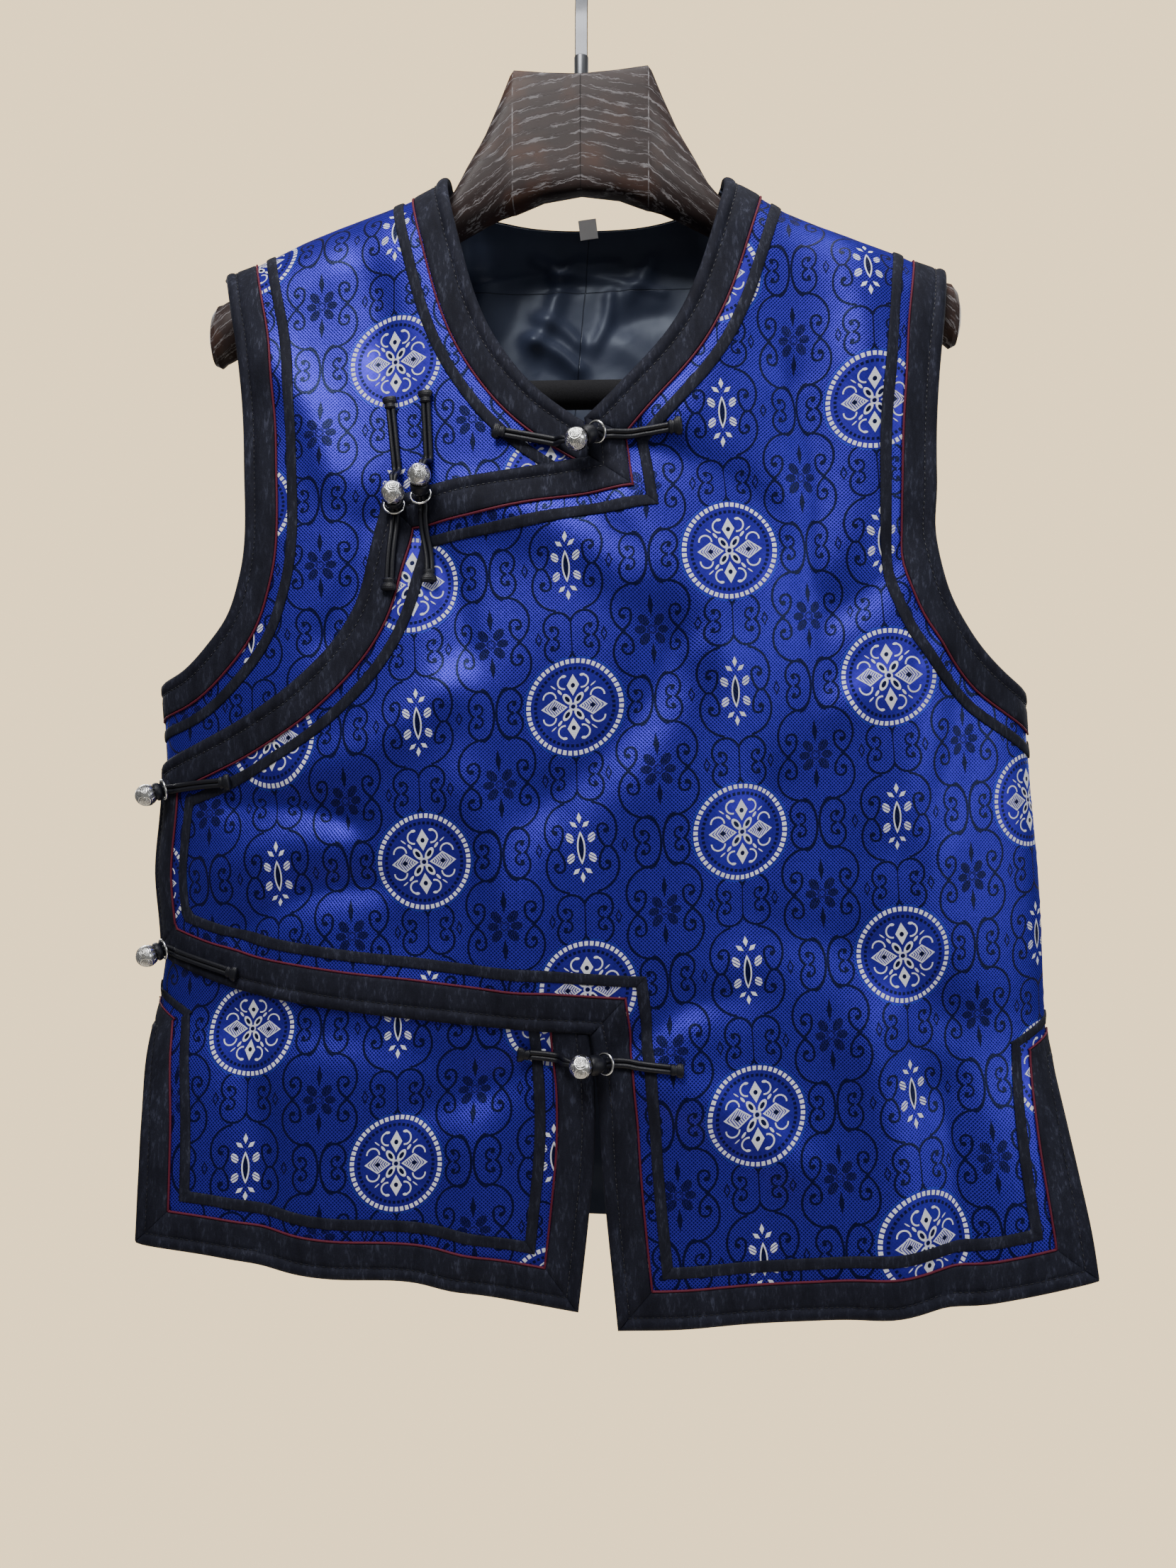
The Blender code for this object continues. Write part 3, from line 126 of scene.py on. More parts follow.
LENS_POWER = 1.8
SEAM_HALF_GAP = 0.2

# %% The shoulders
# Height of the seam along each shoulder.
Seam = namedtuple("Seam", "across left right")
SHOULDER = table(
    Seam,
    (0, 171, 171), (76, 171, 171), (82, 174.5, 175), (90, 180.5, 180.5), (104, 187.5, 188),
    (124, 194, 200), (148, 201.5, 210), (172, 210, 218.5), (194, 219.5, 226), (208, 225, 232),
    (236, 233.5, 241),
)
ROLL_DROP = 46.0
ROLL_LENGTH = 72.0

# %% The largest folds
# The largest folds: soft troughs (negative) and ridges between two points of the cloth.
Fold = namedtuple("Fold", "across_a down_a across_b down_b width depth")
FOLDS = {
    "front": table(
        Fold,
        (-150, 260, -60, 430, 34, -4.0), (120, 230, 150, 470, 38, -5.0),
        (190, 300, 205, 560, 30, 4.0), (60, 380, 20, 640, 46, 3.5),
        (-190, 560, -90, 640, 34, -3.5), (130, 560, 215, 800, 40, -4.0),
        (70, 700, 60, 860, 30, 4.0), (-150, 720, -160, 840, 34, 4.0),
    ),
    "back": table(
        Fold,
        (-120, 260, -60, 520, 42, -5.0), (130, 250, 80, 560, 44, -5.0),
        (-30, 420, -10, 800, 50, 4.5), (-180, 640, -190, 840, 34, 4.0),
        (170, 620, 185, 840, 36, -4.0),
    ),
}

# %% The landmarks of the cut
# Landmarks of the cut, as (across, down).
NECK_LEFT = (-82, 148.5)
NECK_RIGHT = (87, 152.3)
TIP_LEFT = -229.0
TIP_RIGHT = 228.0
PIT_LEFT = 490.0
PIT_RIGHT = 497.0
SLIT_LEFT = 708.0
SLIT_RIGHT = 722.0
LAP_CORNER = (5, 338)
LAP_INNER_CORNER = (8, 361)
FLAP_CORNER = (-117, 381)
FLAP_SIDE = 541.0
WAIST_SIDE = 659.0
CENTRE_CORNER = (9, 696.5)
OUTER_HEM_CENTRE = (25, 867)
OUTER_HEM_SIDE = 838.0
INNER_HEM_CENTRE = (1, 858)
INNER_HEM_SIDE = 829.0
UNDERLAP = 17.0
BACK_HEM_SIDE = 838.0

GABLE_RISE = 0.85
GABLE_KNEE = 0.4

# %% [markdown]
# ## Hanging the cloth
#
# Each horizontal section of the vest is a flat lens. Cloth doesn't stretch, so a point's place
# round the lens is found by its length along the curve. The curve is measured once for many
# ratios of depth to width and then looked up, which keeps thousands of points quick.

# %% Smooth tables and the lens
def smooth_lookup(x, xs, ys):
    """A smooth curve through a table's rows, read at x."""
    xs = np.asarray(xs, float)
    ys = np.asarray(ys, float)
    slopes = np.gradient(ys, xs)
    x = np.clip(x, xs[0], xs[-1])
    i = np.clip(np.searchsorted(xs, x) - 1, 0, len(xs) - 2)
    span = xs[i + 1] - xs[i]
    t = (x - xs[i]) / span
    start = (2 * t**3 - 3 * t**2 + 1) * ys[i] + (t**3 - 2 * t**2 + t) * span * slopes[i]
    end = (3 * t**2 - 2 * t**3) * ys[i + 1] + (t**3 - t**2) * span * slopes[i + 1]
    return start + end


def lens_tables():
    """Length, width and depth along a quarter of a lens, for each ratio of depth to width."""
    angle = np.linspace(0, pi / 2, 1201)
    wide = np.sin(angle) ** (2 / LENS_POWER)
    deep = np.cos(angle) ** (2 / LENS_POWER)
    lengths, across, depth = [], [], []
    for ratio in RATIOS:
        run = np.hypot(np.diff(wide), ratio * np.diff(deep)).cumsum()
        run = np.concatenate([[0], run])
        lengths.append(run[-1])
        across.append(np.interp(SHARES, run / run[-1], wide))
        depth.append(np.interp(SHARES, run / run[-1], deep))
    return np.array(lengths), np.array(across), np.array(depth)


RATIOS = np.linspace(0.0, 0.35, 36)
SHARES = np.linspace(0.0, 1.0, 161)
LENS_LENGTH, LENS_ACROSS, LENS_DEPTH = lens_tables()

# %% Reading the sections
def values_of(rows, name):
    """One named value of every row."""
    return [getattr(row, name) for row in rows]


def section_at(drop, across, back):
    """Half-width, depth and edge stand-off of a panel at a height."""
    left = np.asarray(across) < 0

    def read(name):
        return smooth_lookup(drop, values_of(SECTIONS, "drop"), values_of(SECTIONS, name))

    half = np.where(left, read("left"), read("right"))
    depth = read("back" if back else "front")
    lip = read("lip_back") if back else np.where(left, read("lip_left"), read("lip_right"))
    return half, depth, np.clip(lip, 0, depth)


def side_across(down, side, back=False):
    """The cloth coordinate of the side seam or slit edge, at a height."""
    half, depth, lip = section_at(np.asarray(down, float), side, back)
    return side * half * np.interp((depth - lip) / half, RATIOS, LENS_LENGTH)


def shoulder_down(across):
    """The cloth coordinate of the shoulder seam."""
    spots = values_of(SHOULDER, "across")
    left = np.interp(-across, spots, values_of(SHOULDER, "left"))
    right = np.interp(across, spots, values_of(SHOULDER, "right"))
    return np.where(across < 0, left, right) + ROLL_DROP - ROLL_LENGTH


def read_lens(values, ratio, share):
    """A lens table read between its rows and columns."""
    fi = np.clip(ratio / RATIOS[1], 0, len(RATIOS) - 1.001)
    fj = np.clip(share * (len(SHARES) - 1), 0, len(SHARES) - 1.001)
    i, j = fi.astype(int), fj.astype(int)
    fi, fj = fi - i, fj - j
    near = values[i, j] * (1 - fi) + values[i + 1, j] * fi
    far = values[i, j + 1] * (1 - fi) + values[i + 1, j + 1] * fi
    return near * (1 - fj) + far * fj

# %% [markdown]
# ## Creases
#
# The large folds are shared with the solids. The finer creases are placed where the
# real cloth shows them: pulls that start at the closures, drag lines from the armholes, and
# soft waves at the hem. Each is a soft trough or ridge between two points, with its own width.
# A simulation would place its own folds, so listing them one by one is the better way to match.

# %% The finer creases
Crease = namedtuple("Crease", "across_a down_a across_b down_b width depth")
CREASES = {
    "front": table(
        Crease,
        (-103, 392, -68, 470, 13, -1.8), (-125, 398, -150, 462, 12, -1.5),
        (-62, 388, 30, 430, 15, 1.7), (35, 356, 112, 392, 13, -1.9), (30, 392, 74, 470, 15, 2.0),
        (56, 470, -12, 560, 16, -2.2), (110, 560, 62, 668, 17, -2.0),
        (-80, 500, -176, 548, 14, 1.6), (-214, 566, -138, 574, 10, -1.7),
        (-206, 640, -120, 612, 11, -1.8), (-222, 604, -150, 592, 13, 1.5),
        (196, 404, 148, 452, 15, -2.2), (210, 470, 160, 506, 14, 1.8),
        (232, 510, 196, 590, 15, -2.0), (150, 196, 172, 300, 16, 1.6),
        (124, 318, 138, 430, 14, -2.0), (30, 704, 96, 676, 12, -1.7),
        (52, 730, 120, 770, 14, 1.7), (-24, 712, -92, 742, 13, -1.6),
        (-60, 770, -72, 838, 15, 1.6), (168, 700, 180, 842, 18, 2.2),
        (216, 740, 214, 842, 14, -2.0), (-202, 724, -186, 820, 15, -1.8),
        (-142, 214, -120, 286, 14, -1.4), (-186, 300, -150, 362, 14, 1.6),
        (-64, 560, -36, 660, 16, 1.6), (-20, 520, -96, 640, 24, -1.6),
        (96, 440, 46, 548, 24, 1.3), (206, 600, 172, 706, 22, 1.3),
        (120, 640, 226, 692, 18, -1.2), (-196, 700, -60, 724, 15, -1.2),
        (112, 210, 66, 330, 17, 1.1), (186, 250, 196, 380, 14, -1.3),
    ),
    "back": table(
        Crease,
        (-206, 470, -132, 520, 14, -2.0), (212, 480, 138, 536, 15, -2.1),
        (-96, 214, -70, 330, 15, 1.8), (92, 222, 60, 344, 15, -1.7),
        (-150, 560, -110, 690, 17, -1.9), (60, 560, 92, 720, 18, 2.0),
        (-52, 660, -60, 836, 16, -1.8), (130, 700, 142, 840, 16, 2.0),
        (-212, 700, -206, 834, 15, 1.7), (20, 300, -24, 420, 16, -1.5),
    ),
}
WRINKLE_HEIGHT = 0.30
CREASE_STRENGTH = 2.5
CREASE_BOW = 0.08
END_FADE = 1.4


def ridge_height(rows, across, down):
    """The sum of some soft troughs and ridges, in millimetres."""
    height = np.zeros(np.shape(across))
    for row in rows:
        run_across, run_down = row.across_b - row.across_a, row.down_b - row.down_a
        length = np.hypot(run_across, run_down)
        x, y = across - row.across_a, down - row.down_a
        along = (x * run_across + y * run_down) / length
        off = (x * run_down - y * run_across) / length
        beyond = np.maximum(np.maximum(-along, along - length), 0)
        if isinstance(row, Crease):
            off = off - CREASE_BOW * length * np.sin(np.clip(along / length, 0, 1) * pi)
        reach = (off / row.width) ** 2 + (beyond / (END_FADE * row.width)) ** 2
        height += row.depth * np.exp(-reach)
    return height


def slack_height(across, down):
    """Shallow unevenness that every worn cloth has."""
    return WRINKLE_HEIGHT * (
        np.sin(across / 17 + 1.3 * np.sin(down / 41)) + np.sin(down / 23 + across / 61)
    )


def fold_height(across, down, panel):
    folds = ridge_height(FOLDS[panel], across, down)
    creases = CREASE_STRENGTH * ridge_height(CREASES[panel], across, down)
    return folds + creases + slack_height(across, down)


for panel in ("front", "back"):
    print(panel, "with", len(FOLDS[panel]), "folds and", len(CREASES[panel]), "creases")

# %% From flat cloth to the hanging vest
# The folds fade out over this share of the width at each side, and over this drop at the
# shoulder seams.
CALM_SHARE = 0.25
CALM_DROP = 90.0


def cloth_point(across, down, back=False):
    """The base surface of the front or back, over the shoulders and round the sides."""
    across = np.asarray(across, float)
    down = np.asarray(down, float)
    roll_start = shoulder_down(across) + ROLL_LENGTH
    turn = np.maximum((roll_start - down) / ROLL_LENGTH * pi / 2, 0)
    drop = np.where(turn > 0, roll_start - ROLL_DROP * np.sin(turn), down)
    half, depth, lip = section_at(drop, across, back)
    ratio = (depth - lip) / half
    total = half * np.interp(ratio, RATIOS, LENS_LENGTH)
    share = np.abs(across) / total
    x = np.sign(across) * half * read_lens(LENS_ACROSS, ratio, share)
    y = lip + (depth - lip) * read_lens(LENS_DEPTH, ratio, share)
    below_seam = down - (roll_start - ROLL_LENGTH)
    calm = np.clip((1 - share) / CALM_SHARE, 0, 1) * np.clip(below_seam / CALM_DROP, 0, 1)
    y = y * np.cos(turn) + calm * fold_height(across, down, "back" if back else "front")
    y = (y + SEAM_HALF_GAP) * (1 if back else -1)
    return np.stack([x, y, -drop], axis=-1)


def cloth_normal(across, down, back=False):
    """The outward normal of the base surface."""
    side = np.cross(
        cloth_point(across + 1, down, back) - cloth_point(across - 1, down, back),
        cloth_point(across, down + 1, back) - cloth_point(across, down - 1, back),
    )
    side /= np.linalg.norm(side, axis=-1, keepdims=True)
    return side if back else -side


def cloth_at(across, down, out, back=False):
    """A point a given distance outside the base surface."""
    normal = cloth_normal(across, down, back)
    return cloth_point(across, down, back) + np.asarray(out)[..., None] * normal


def hang(flat, back=False):
    """Rows of across, down and out, hung on the vest, in metres."""
    return cloth_at(*np.asarray(flat, float).T, back) * MM

# %% [markdown]
# ## The cut edges
#
# The edges are smooth curves through a few measured points. A chain joins the edges that one
# strip of trim follows, and works out the mitres at its corners.

# %% Curves of the cut
FINE_STATION = 5.0
CORNER_STEP = 0.8
GABLE_STEPS = 5
LEAST_INSET = 0.05


def smooth_edge(*points, fine=2.0):
    """A dense polyline along a smooth curve through the points."""
    points = np.array(points, float)
    run = measured(points)
    steps = np.linspace(0, run[-1], max(int(run[-1] / fine), 2) + 1)
    read = np.interp if len(points) == 2 else smooth_lookup
    return np.stack([read(steps, run, side) for side in points.T], axis=1)


def side_edge(start, end, side, back=False):
    """The panel's side, between two heights."""
    down = np.linspace(start, end, max(int(abs(end - start) / 2), 2) + 1)
    return np.stack([side_across(down, side, back), down], axis=1)


def shoulder_edge(start, end):
    across = np.linspace(start, end, max(int(abs(end - start) / 2), 2) + 1)
    return np.stack([across, shoulder_down(across)], axis=1)


def measured(edge):
    """Length along a polyline at each of its points."""
    return np.concatenate([[0], np.linalg.norm(np.diff(edge, axis=0), axis=1).cumsum()])


def points_along(line, at):
    """Points at distances along a polyline."""
    run = measured(line)
    return np.stack([np.interp(at, run, side) for side in line.T], axis=1)

# %% Points along an edge
TANGENT_REACH = 3


def edge_points(edge, distances, inset, inward):
    """Points at distances along an edge, moved into the panel.

    Beyond an end the edge runs on straight.
    """
    length = measured(edge)[-1]
    held = np.clip(distances, 0.0, length)
    ahead = np.minimum(held + TANGENT_REACH, length)
    behind = np.maximum(held - TANGENT_REACH, 0)
    tangent = points_along(edge, ahead) - points_along(edge, behind)
    tangent /= np.hypot(*tangent.T)[:, None]
    side = inward * np.stack([-tangent[:, 1], tangent[:, 0]], axis=1)
    return points_along(edge, held) + tangent * (distances - held)[:, None] + side * inset


def end_tangent(edge, at_end):
    chord = edge[-1] - edge[-3] if at_end else edge[2] - edge[0]
    return chord / np.hypot(*chord)


class Chain:
    """A run of trimmed edges with mitred corners, whose ends lie on a seam or under a lap."""

    def __init__(self, edges, start, end, inward, gable_start=None, gable_end=None):
        self.edges = edges
        self.start = start
        self.end = end
        self.inward = inward
        self.gable_start = gable_start
        self.gable_end = gable_end
        self.counts = [max(2, round(measured(e)[-1] / FINE_STATION)) for e in edges]

    def trims(self, k, inset):
        """How much an inset row of edge k is shortened at its two ends."""
        edge = self.edges[k]
        if k == 0:
            first = np.dot(self.start(inset) - edge[0], end_tangent(edge, False))
        else:
            first = self.miter(k - 1, inset)
        if k == len(self.edges) - 1:
            last = -np.dot(self.end(inset) - edge[-1], end_tangent(edge, True))
        else:
            last = self.miter(k, inset)
        return first, last

    def miter(self, k, inset):
        before = end_tangent(self.edges[k], True)
        after = end_tangent(self.edges[k + 1], False)
        turn = np.arctan2(
            self.inward * (before[0] * after[1] - before[1] * after[0]), np.dot(before, after)
        )
        return inset * tan(turn / 2)

    def corners(self):
        """The numbers of the stations at the mitres."""
        found, at = [], -1
        for count in self.counts[:-1]:
            at += count + 2
            found.append(at + 1)
        return [c + (GABLE_STEPS if self.gable_start else 0) for c in found]

    def row(self, inset):
        """The points of the line that runs inside the trimmed edges at this distance."""
        rows = []
        for k, edge in enumerate(self.edges):
            first, last = self.trims(k, inset)
            length = measured(edge)[-1] - first - last
            even = np.linspace(0, length, self.counts[k] + 1)
            stations = np.sort(np.append(even, [CORNER_STEP, length - CORNER_STEP]))
            found = edge_points(edge, first + stations, inset, self.inward)
            rows.append(found if k == 0 else found[1:])
        points = np.concatenate(rows)
        points[0] = self.start(inset)
        points[-1] = self.end(inset)
        share = np.linspace(0, 1, GABLE_STEPS + 1)[:-1, None]
        if self.gable_start is not None:
            tip = self.gable_start(max(inset, LEAST_INSET))
            points = np.concatenate([tip + share * (points[0] - tip), points])
        if self.gable_end is not None:
            tip = self.gable_end(max(inset, LEAST_INSET))
            points = np.concatenate([points, (tip + share * (points[-1] - tip))[::-1]])
        return points

# %% Where the chains end
def side_point(down, side, back=False):
    return np.array([float(side_across(down, side, back)), down])


def shoulder_point(across):
    return np.array([across, float(shoulder_down(across))])


def on_shoulder(across, toward):
    """Where a row at an inset meets the shoulder seam."""
    return lambda inset: shoulder_point(across + toward * inset)


def on_side(down, side, toward, back=False):
    """Where a row at an inset meets the side seam."""
    return lambda inset: side_point(down + toward * inset, side, back)


def gable_knee(down, side, back=False):
    """Where a slit's trim turns from the slit's edge into the gable over its top."""
    return lambda inset: side_point(down, side, back) - np.array([side, GABLE_KNEE]) * inset


def on_hidden_edge(point, direction):
    return lambda inset: np.array(point, float) + np.array(direction, float) * inset


def armhole(side, tip, pit, shape, back=False):
    """An armhole from the shoulder's tip to the side seam."""
    between = [(side * across, down) for across, down in shape]
    edge = smooth_edge(shoulder_point(tip), *between, side_point(pit, side, back))
    return Chain([edge], on_shoulder(tip, -side), on_side(pit, side, 1.0, back), side)

# %% The fronts' edges
LAP_END = (UNDERLAP, 347)
SLIT_END = (7, 672)

OUTER = Chain(
    [
        smooth_edge(NECK_RIGHT, (86.5, 195), (79, 227), (58, 279), (25, 318), LAP_CORNER),
        smooth_edge(LAP_CORNER, LAP_INNER_CORNER),
        smooth_edge(LAP_INNER_CORNER, (-82, 374), FLAP_CORNER),
        smooth_edge(
            FLAP_CORNER,
            (-124, 413), (-133, 446), (-170, 489), (-201, 509), (-240, 527),
            side_point(FLAP_SIDE, -1),
        ),
        side_edge(FLAP_SIDE, WAIST_SIDE, -1),
        smooth_edge(
            side_point(WAIST_SIDE, -1), (-213, 676), (-150, 685), (-60, 693), CENTRE_CORNER
        ),
        smooth_edge(CENTRE_CORNER, (13, 730), (16, 777), OUTER_HEM_CENTRE),
        smooth_edge(OUTER_HEM_CENTRE, (95, 862), (222, 853), side_point(OUTER_HEM_SIDE, 1)),
        side_edge(OUTER_HEM_SIDE, SLIT_RIGHT, 1),
    ],
    on_shoulder(NECK_RIGHT[0], 1),
    gable_knee(SLIT_RIGHT, 1),
    -1,
    gable_end=on_side(SLIT_RIGHT, 1, -GABLE_RISE),
)
OUTER_ARMHOLE = armhole(
    1,
    TIP_RIGHT,
    PIT_RIGHT,
    ((217, 300), (214.5, 370), (217, 420), (224, 440), (240, 464), (262, 484)),
)
INNER_NECK = Chain(
    [smooth_edge(NECK_LEFT, (-79, 191), (-72, 223), (-51, 284), (-27, 316), (3, 339), LAP_END)],
    on_shoulder(NECK_LEFT[0], -1),
    on_hidden_edge(LAP_END, (0, 1.15)),
    1,
)
INNER_ARMHOLE = armhole(
    -1,
    TIP_LEFT,
    PIT_LEFT,
    ((210, 293), (206, 355), (209, 424), (219, 450), (232, 465), (252, 481)),
)
INNER_LOWER = Chain(
    [
        side_edge(SLIT_LEFT, INNER_HEM_SIDE, -1),
        smooth_edge(
            side_point(INNER_HEM_SIDE, -1),
            (-223, 832), (-142, 842), (-96, 843), (-52, 850),
            INNER_HEM_CENTRE,
        ),
        smooth_edge(INNER_HEM_CENTRE, (7, 804), (10.5, 764), (10.5, 730), (7, 690), SLIT_END),
    ],
    gable_knee(SLIT_LEFT, -1),
    on_hidden_edge(SLIT_END, (-1, 0)),
    -1,
    gable_start=on_side(SLIT_LEFT, -1, -GABLE_RISE),
)

# %% The back's edges
BACK_ARMHOLE = ((213, 300), (208, 370), (213, 425), (226, 452), (246, 474))

BACK_NECK = Chain(
    [
        smooth_edge(
            NECK_LEFT,
            (-80, 164), (-70, 174), (-50, 180), (4, 185), (58, 180), (76, 174), (85, 164),
            NECK_RIGHT,
        )
    ],
    on_shoulder(NECK_LEFT[0], -1),
    on_shoulder(NECK_RIGHT[0], 1),
    1,
)
LEFT_ARMHOLE = armhole(-1, TIP_LEFT, PIT_LEFT, BACK_ARMHOLE, True)
RIGHT_ARMHOLE = armhole(1, TIP_RIGHT, PIT_RIGHT, BACK_ARMHOLE, True)
BACK_LOWER = Chain(
    [
        side_edge(SLIT_LEFT, BACK_HEM_SIDE, -1, True),
        smooth_edge(
            side_point(BACK_HEM_SIDE, -1, True),
            (-140, 841), (0, 842), (140, 843),
            side_point(BACK_HEM_SIDE, 1, True),
        ),
        side_edge(BACK_HEM_SIDE, SLIT_RIGHT, 1, True),
    ],
    gable_knee(SLIT_LEFT, -1, True),
    gable_knee(SLIT_RIGHT, 1, True),
    -1,
    gable_start=on_side(SLIT_LEFT, -1, -GABLE_RISE, True),
    gable_end=on_side(SLIT_RIGHT, 1, -GABLE_RISE, True),
)
print("trimmed edges measured")

# %% [markdown]
# ## Drawing a woven pattern with numbers
#
# The brocade's figures are woven, so they lie in the cloth and follow every fold. They are
# worked out in the material from the cloth's flat coordinates: each shape is a distance, and a
# thread shows where the distance is small. No picture is needed, and the repeat can't drift.
#
# A material's Math nodes are hard to read one by one, so a small helper lets them be written
# as plain sums. It only makes nodes.

# %% Writing Math nodes as sums
def feed(tree, slot, value):
    """Fills a node's slot from a field, a socket or a plain value."""
    if isinstance(value, Field):
        value = value.socket
    if isinstance(value, bpy.types.NodeSocket):
        tree.links.new(value, slot)
    else:
        slot.default_value = value


class Field:
    """A number that varies over the surface, as one socket of a node tree."""

    def __init__(self, tree, socket):
        self.tree = tree
        self.socket = socket

    def made(self, operation, *others):
        node = self.tree.nodes.new("ShaderNodeMath")
        node.operation = operation
        for slot, item in zip(node.inputs, (self, *others)):
            feed(self.tree, slot, item)
        return Field(self.tree, node.outputs[0])

    __add__ = __radd__ = partialmethod(made, "ADD")
    __sub__ = partialmethod(made, "SUBTRACT")
    __mul__ = __rmul__ = partialmethod(made, "MULTIPLY")
    __abs__ = partialmethod(made, "ABSOLUTE")
    lowest = partialmethod(made, "MINIMUM")
    above = partialmethod(made, "GREATER_THAN")
    below = partialmethod(made, "LESS_THAN")
    part = partialmethod(made, "FRACT")
    root = partialmethod(made, "SQRT")
    sine = partialmethod(made, "SINE")

    def __rsub__(self, other):
        return (self * -1.0) + other

    def __rtruediv__(self, other):
        return self.made("POWER", -1.0) * other

    def highest(self, *others):
        """The highest of this field and the others, which lays shapes over each other."""
        found = self
        for other in others:
            found = found.made("MAXIMUM", other)
        return found

    def held(self):
        """The field, held between 0 and 1."""
        return self.highest(0.0).lowest(1.0)


def distance(x, y):
    return (x * x + y * y).root()


def covered(depth, soft=0.18):
    """1 inside a shape and 0 outside it, from a distance into the shape in millimetres."""
    return (depth * (1 / soft) + 0.5).held()


def line(gap, half_width, soft=0.18):
    """A thread line where a distance is near 0."""
    return covered(half_width - abs(gap), soft)


def turned_pair(x, y, degrees):
    c, s = cos(radians(degrees)), sin(radians(degrees))
    return x * c + y * s, y * c - x * s


def oval(x, y, half_x, half_y):
    """Roughly the distance into an ellipse."""
    return (1.0 - distance(x * (1 / half_x), y * (1 / half_y))) * min(half_x, half_y)


def lozenge(x, y, half_x, half_y):
    """The distance into a diamond shape."""
    reach = half_x * half_y / (half_x**2 + half_y**2) ** 0.5
    return (1.0 - (abs(x) * (1 / half_x) + abs(y) * (1 / half_y))) * reach

# %% Making node groups
def label_of(name):
    return name.replace("_", " ")


def new_group(name, outputs, **inputs):
    """A shader node group, its input fields and its output node.

    Each input is given with its value: None for a place, four numbers for a colour.
    """
    tree = bpy.data.node_groups.new(name, "ShaderNodeTree")
    for label, value in inputs.items():
        kind = "Vector" if value is None else "Color" if isinstance(value, tuple) else "Float"
        made = tree.interface.new_socket(
            label_of(label), in_out="INPUT", socket_type="NodeSocket" + kind
        )
        if value is not None:
            made.default_value = value
    for label in outputs:
        kind = "Color" if label == "Color" else "Float"
        tree.interface.new_socket(label, in_out="OUTPUT", socket_type="NodeSocket" + kind)
    start = tree.nodes.new("NodeGroupInput")
    fields = {label: Field(tree, start.outputs[label_of(label)]) for label in inputs}
    return tree, fields, tree.nodes.new("NodeGroupOutput")


def feed_all(tree, node, **given):
    """Fills a node's slots by their names, written with _ for a space."""
    for label, value in given.items():
        feed(tree, node.inputs[label_of(label)], value)
    return node


def place_group(tree, group, **given):
    """Puts a group in another tree."""
    node = tree.nodes.new("ShaderNodeGroup")
    node.node_tree = group
    return feed_all(tree, node, **given)


def blend_colour(tree, share, first, second):
    """A Mix Color node from first to second."""
    node = tree.nodes.new("ShaderNodeMix")
    node.data_type = "RGBA"
    for slot, value in ((0, share), (6, first), (7, second)):
        feed(tree, node.inputs[slot], value)
    return node.outputs[2]


def noise(tree, vector, scale, detail=3.0, roughness=0.5):
    node = tree.nodes.new("ShaderNodeTexNoise")
    feed_all(tree, node, Vector=vector, Scale=scale, Detail=detail, Roughness=roughness)
    return Field(tree, node.outputs["Fac"])


def axes(tree, place):
    """The three parts of a place."""
    split = tree.nodes.new("ShaderNodeSeparateXYZ")
    feed(tree, split.inputs[0], place)
    return [Field(tree, part) for part in split.outputs]


def stretched(tree, place, scale, turn=0.0):
    """A place turned about the depth axis by some degrees and squeezed along its axes."""
    node = tree.nodes.new("ShaderNodeMapping")
    feed_all(tree, node, Vector=place, Rotation=(0.0, radians(turn), 0.0), Scale=scale)
    return node.outputs["Vector"]

# %% [markdown]
# ## The brocade's repeat
#
# Columns of figures stand about 93 mm apart and rows 82 mm apart. Round medallions and small
# almonds alternate like the squares of a chessboard. The cloth was cut a few degrees off the
# grain, so the rows rise to the wearer's left. The group below turns any place on the cloth
# into a place beside the nearest figure, and says which figure it is.

# %% The repeat
COLUMN_PITCH = 93.2
ROW_PITCH = 81.8
PLACING = dict(
    Cloth=None, First_across=0.0, First_down=0.0, Turn=0.0, Lean=0.0, Row_pitch=ROW_PITCH
)

repeat, f, end = new_group("repeat", ("X", "Y", "Medallion", "U", "V"), **PLACING)
sway = noise(repeat, f["Cloth"], 9.0, 1.0) - 0.5
cloth_x, cloth_y, _ = axes(repeat, f["Cloth"])
across = cloth_x * 1000.0 - f["First_across"] + sway * 5.0
down = cloth_y * 1000.0 - f["First_down"] + sway * 3.0
turn, lean = f["Turn"] * (pi / 180), f["Lean"] * (pi / 180)
along_row = across * lean.made("COSINE") - down * lean.sine()
along_column = (down * turn.made("COSINE") + across * turn.sine()) * (ROW_PITCH / f["Row_pitch"])
column = (along_row * (1 / COLUMN_PITCH) + 0.5).made("FLOOR")
row = (along_column * (1 / ROW_PITCH) + 0.5).made("FLOOR")
x = along_row - column * COLUMN_PITCH
y = along_column - row * ROW_PITCH
odd = ((column + row) * 0.5).part().above(0.25)
feed_all(repeat, end, X=x, Y=y, Medallion=1.0 - odd, U=abs(x), V=abs(y))
print("repeat of", COLUMN_PITCH, "by", ROW_PITCH, "mm")

# %% [markdown]
# ## The medallion and the almond
#
# A ring of short white satin stitches frames a plain disc. Inside stand four diamonds, a
# flower of four outlined petals and paired curls. The small almond is black in a white
# outline, with hatched corners and small tips at both ends. Both figures mirror both ways, so
# one quarter is drawn and folded over.

# %% The medallion
RING_REACH = 29.1
RING_HALF = 1.4
RING_DASHES = 54
INNER_REACH = 24.6
INNER_DASHES = 52
MEDALLION_SCALE = 1.08


def dashes(angle, count):
    """How far each place is from the middle of its dash, as a share of the dash's pitch."""
    return abs((angle * (count / (2 * pi))).part() - 0.5)


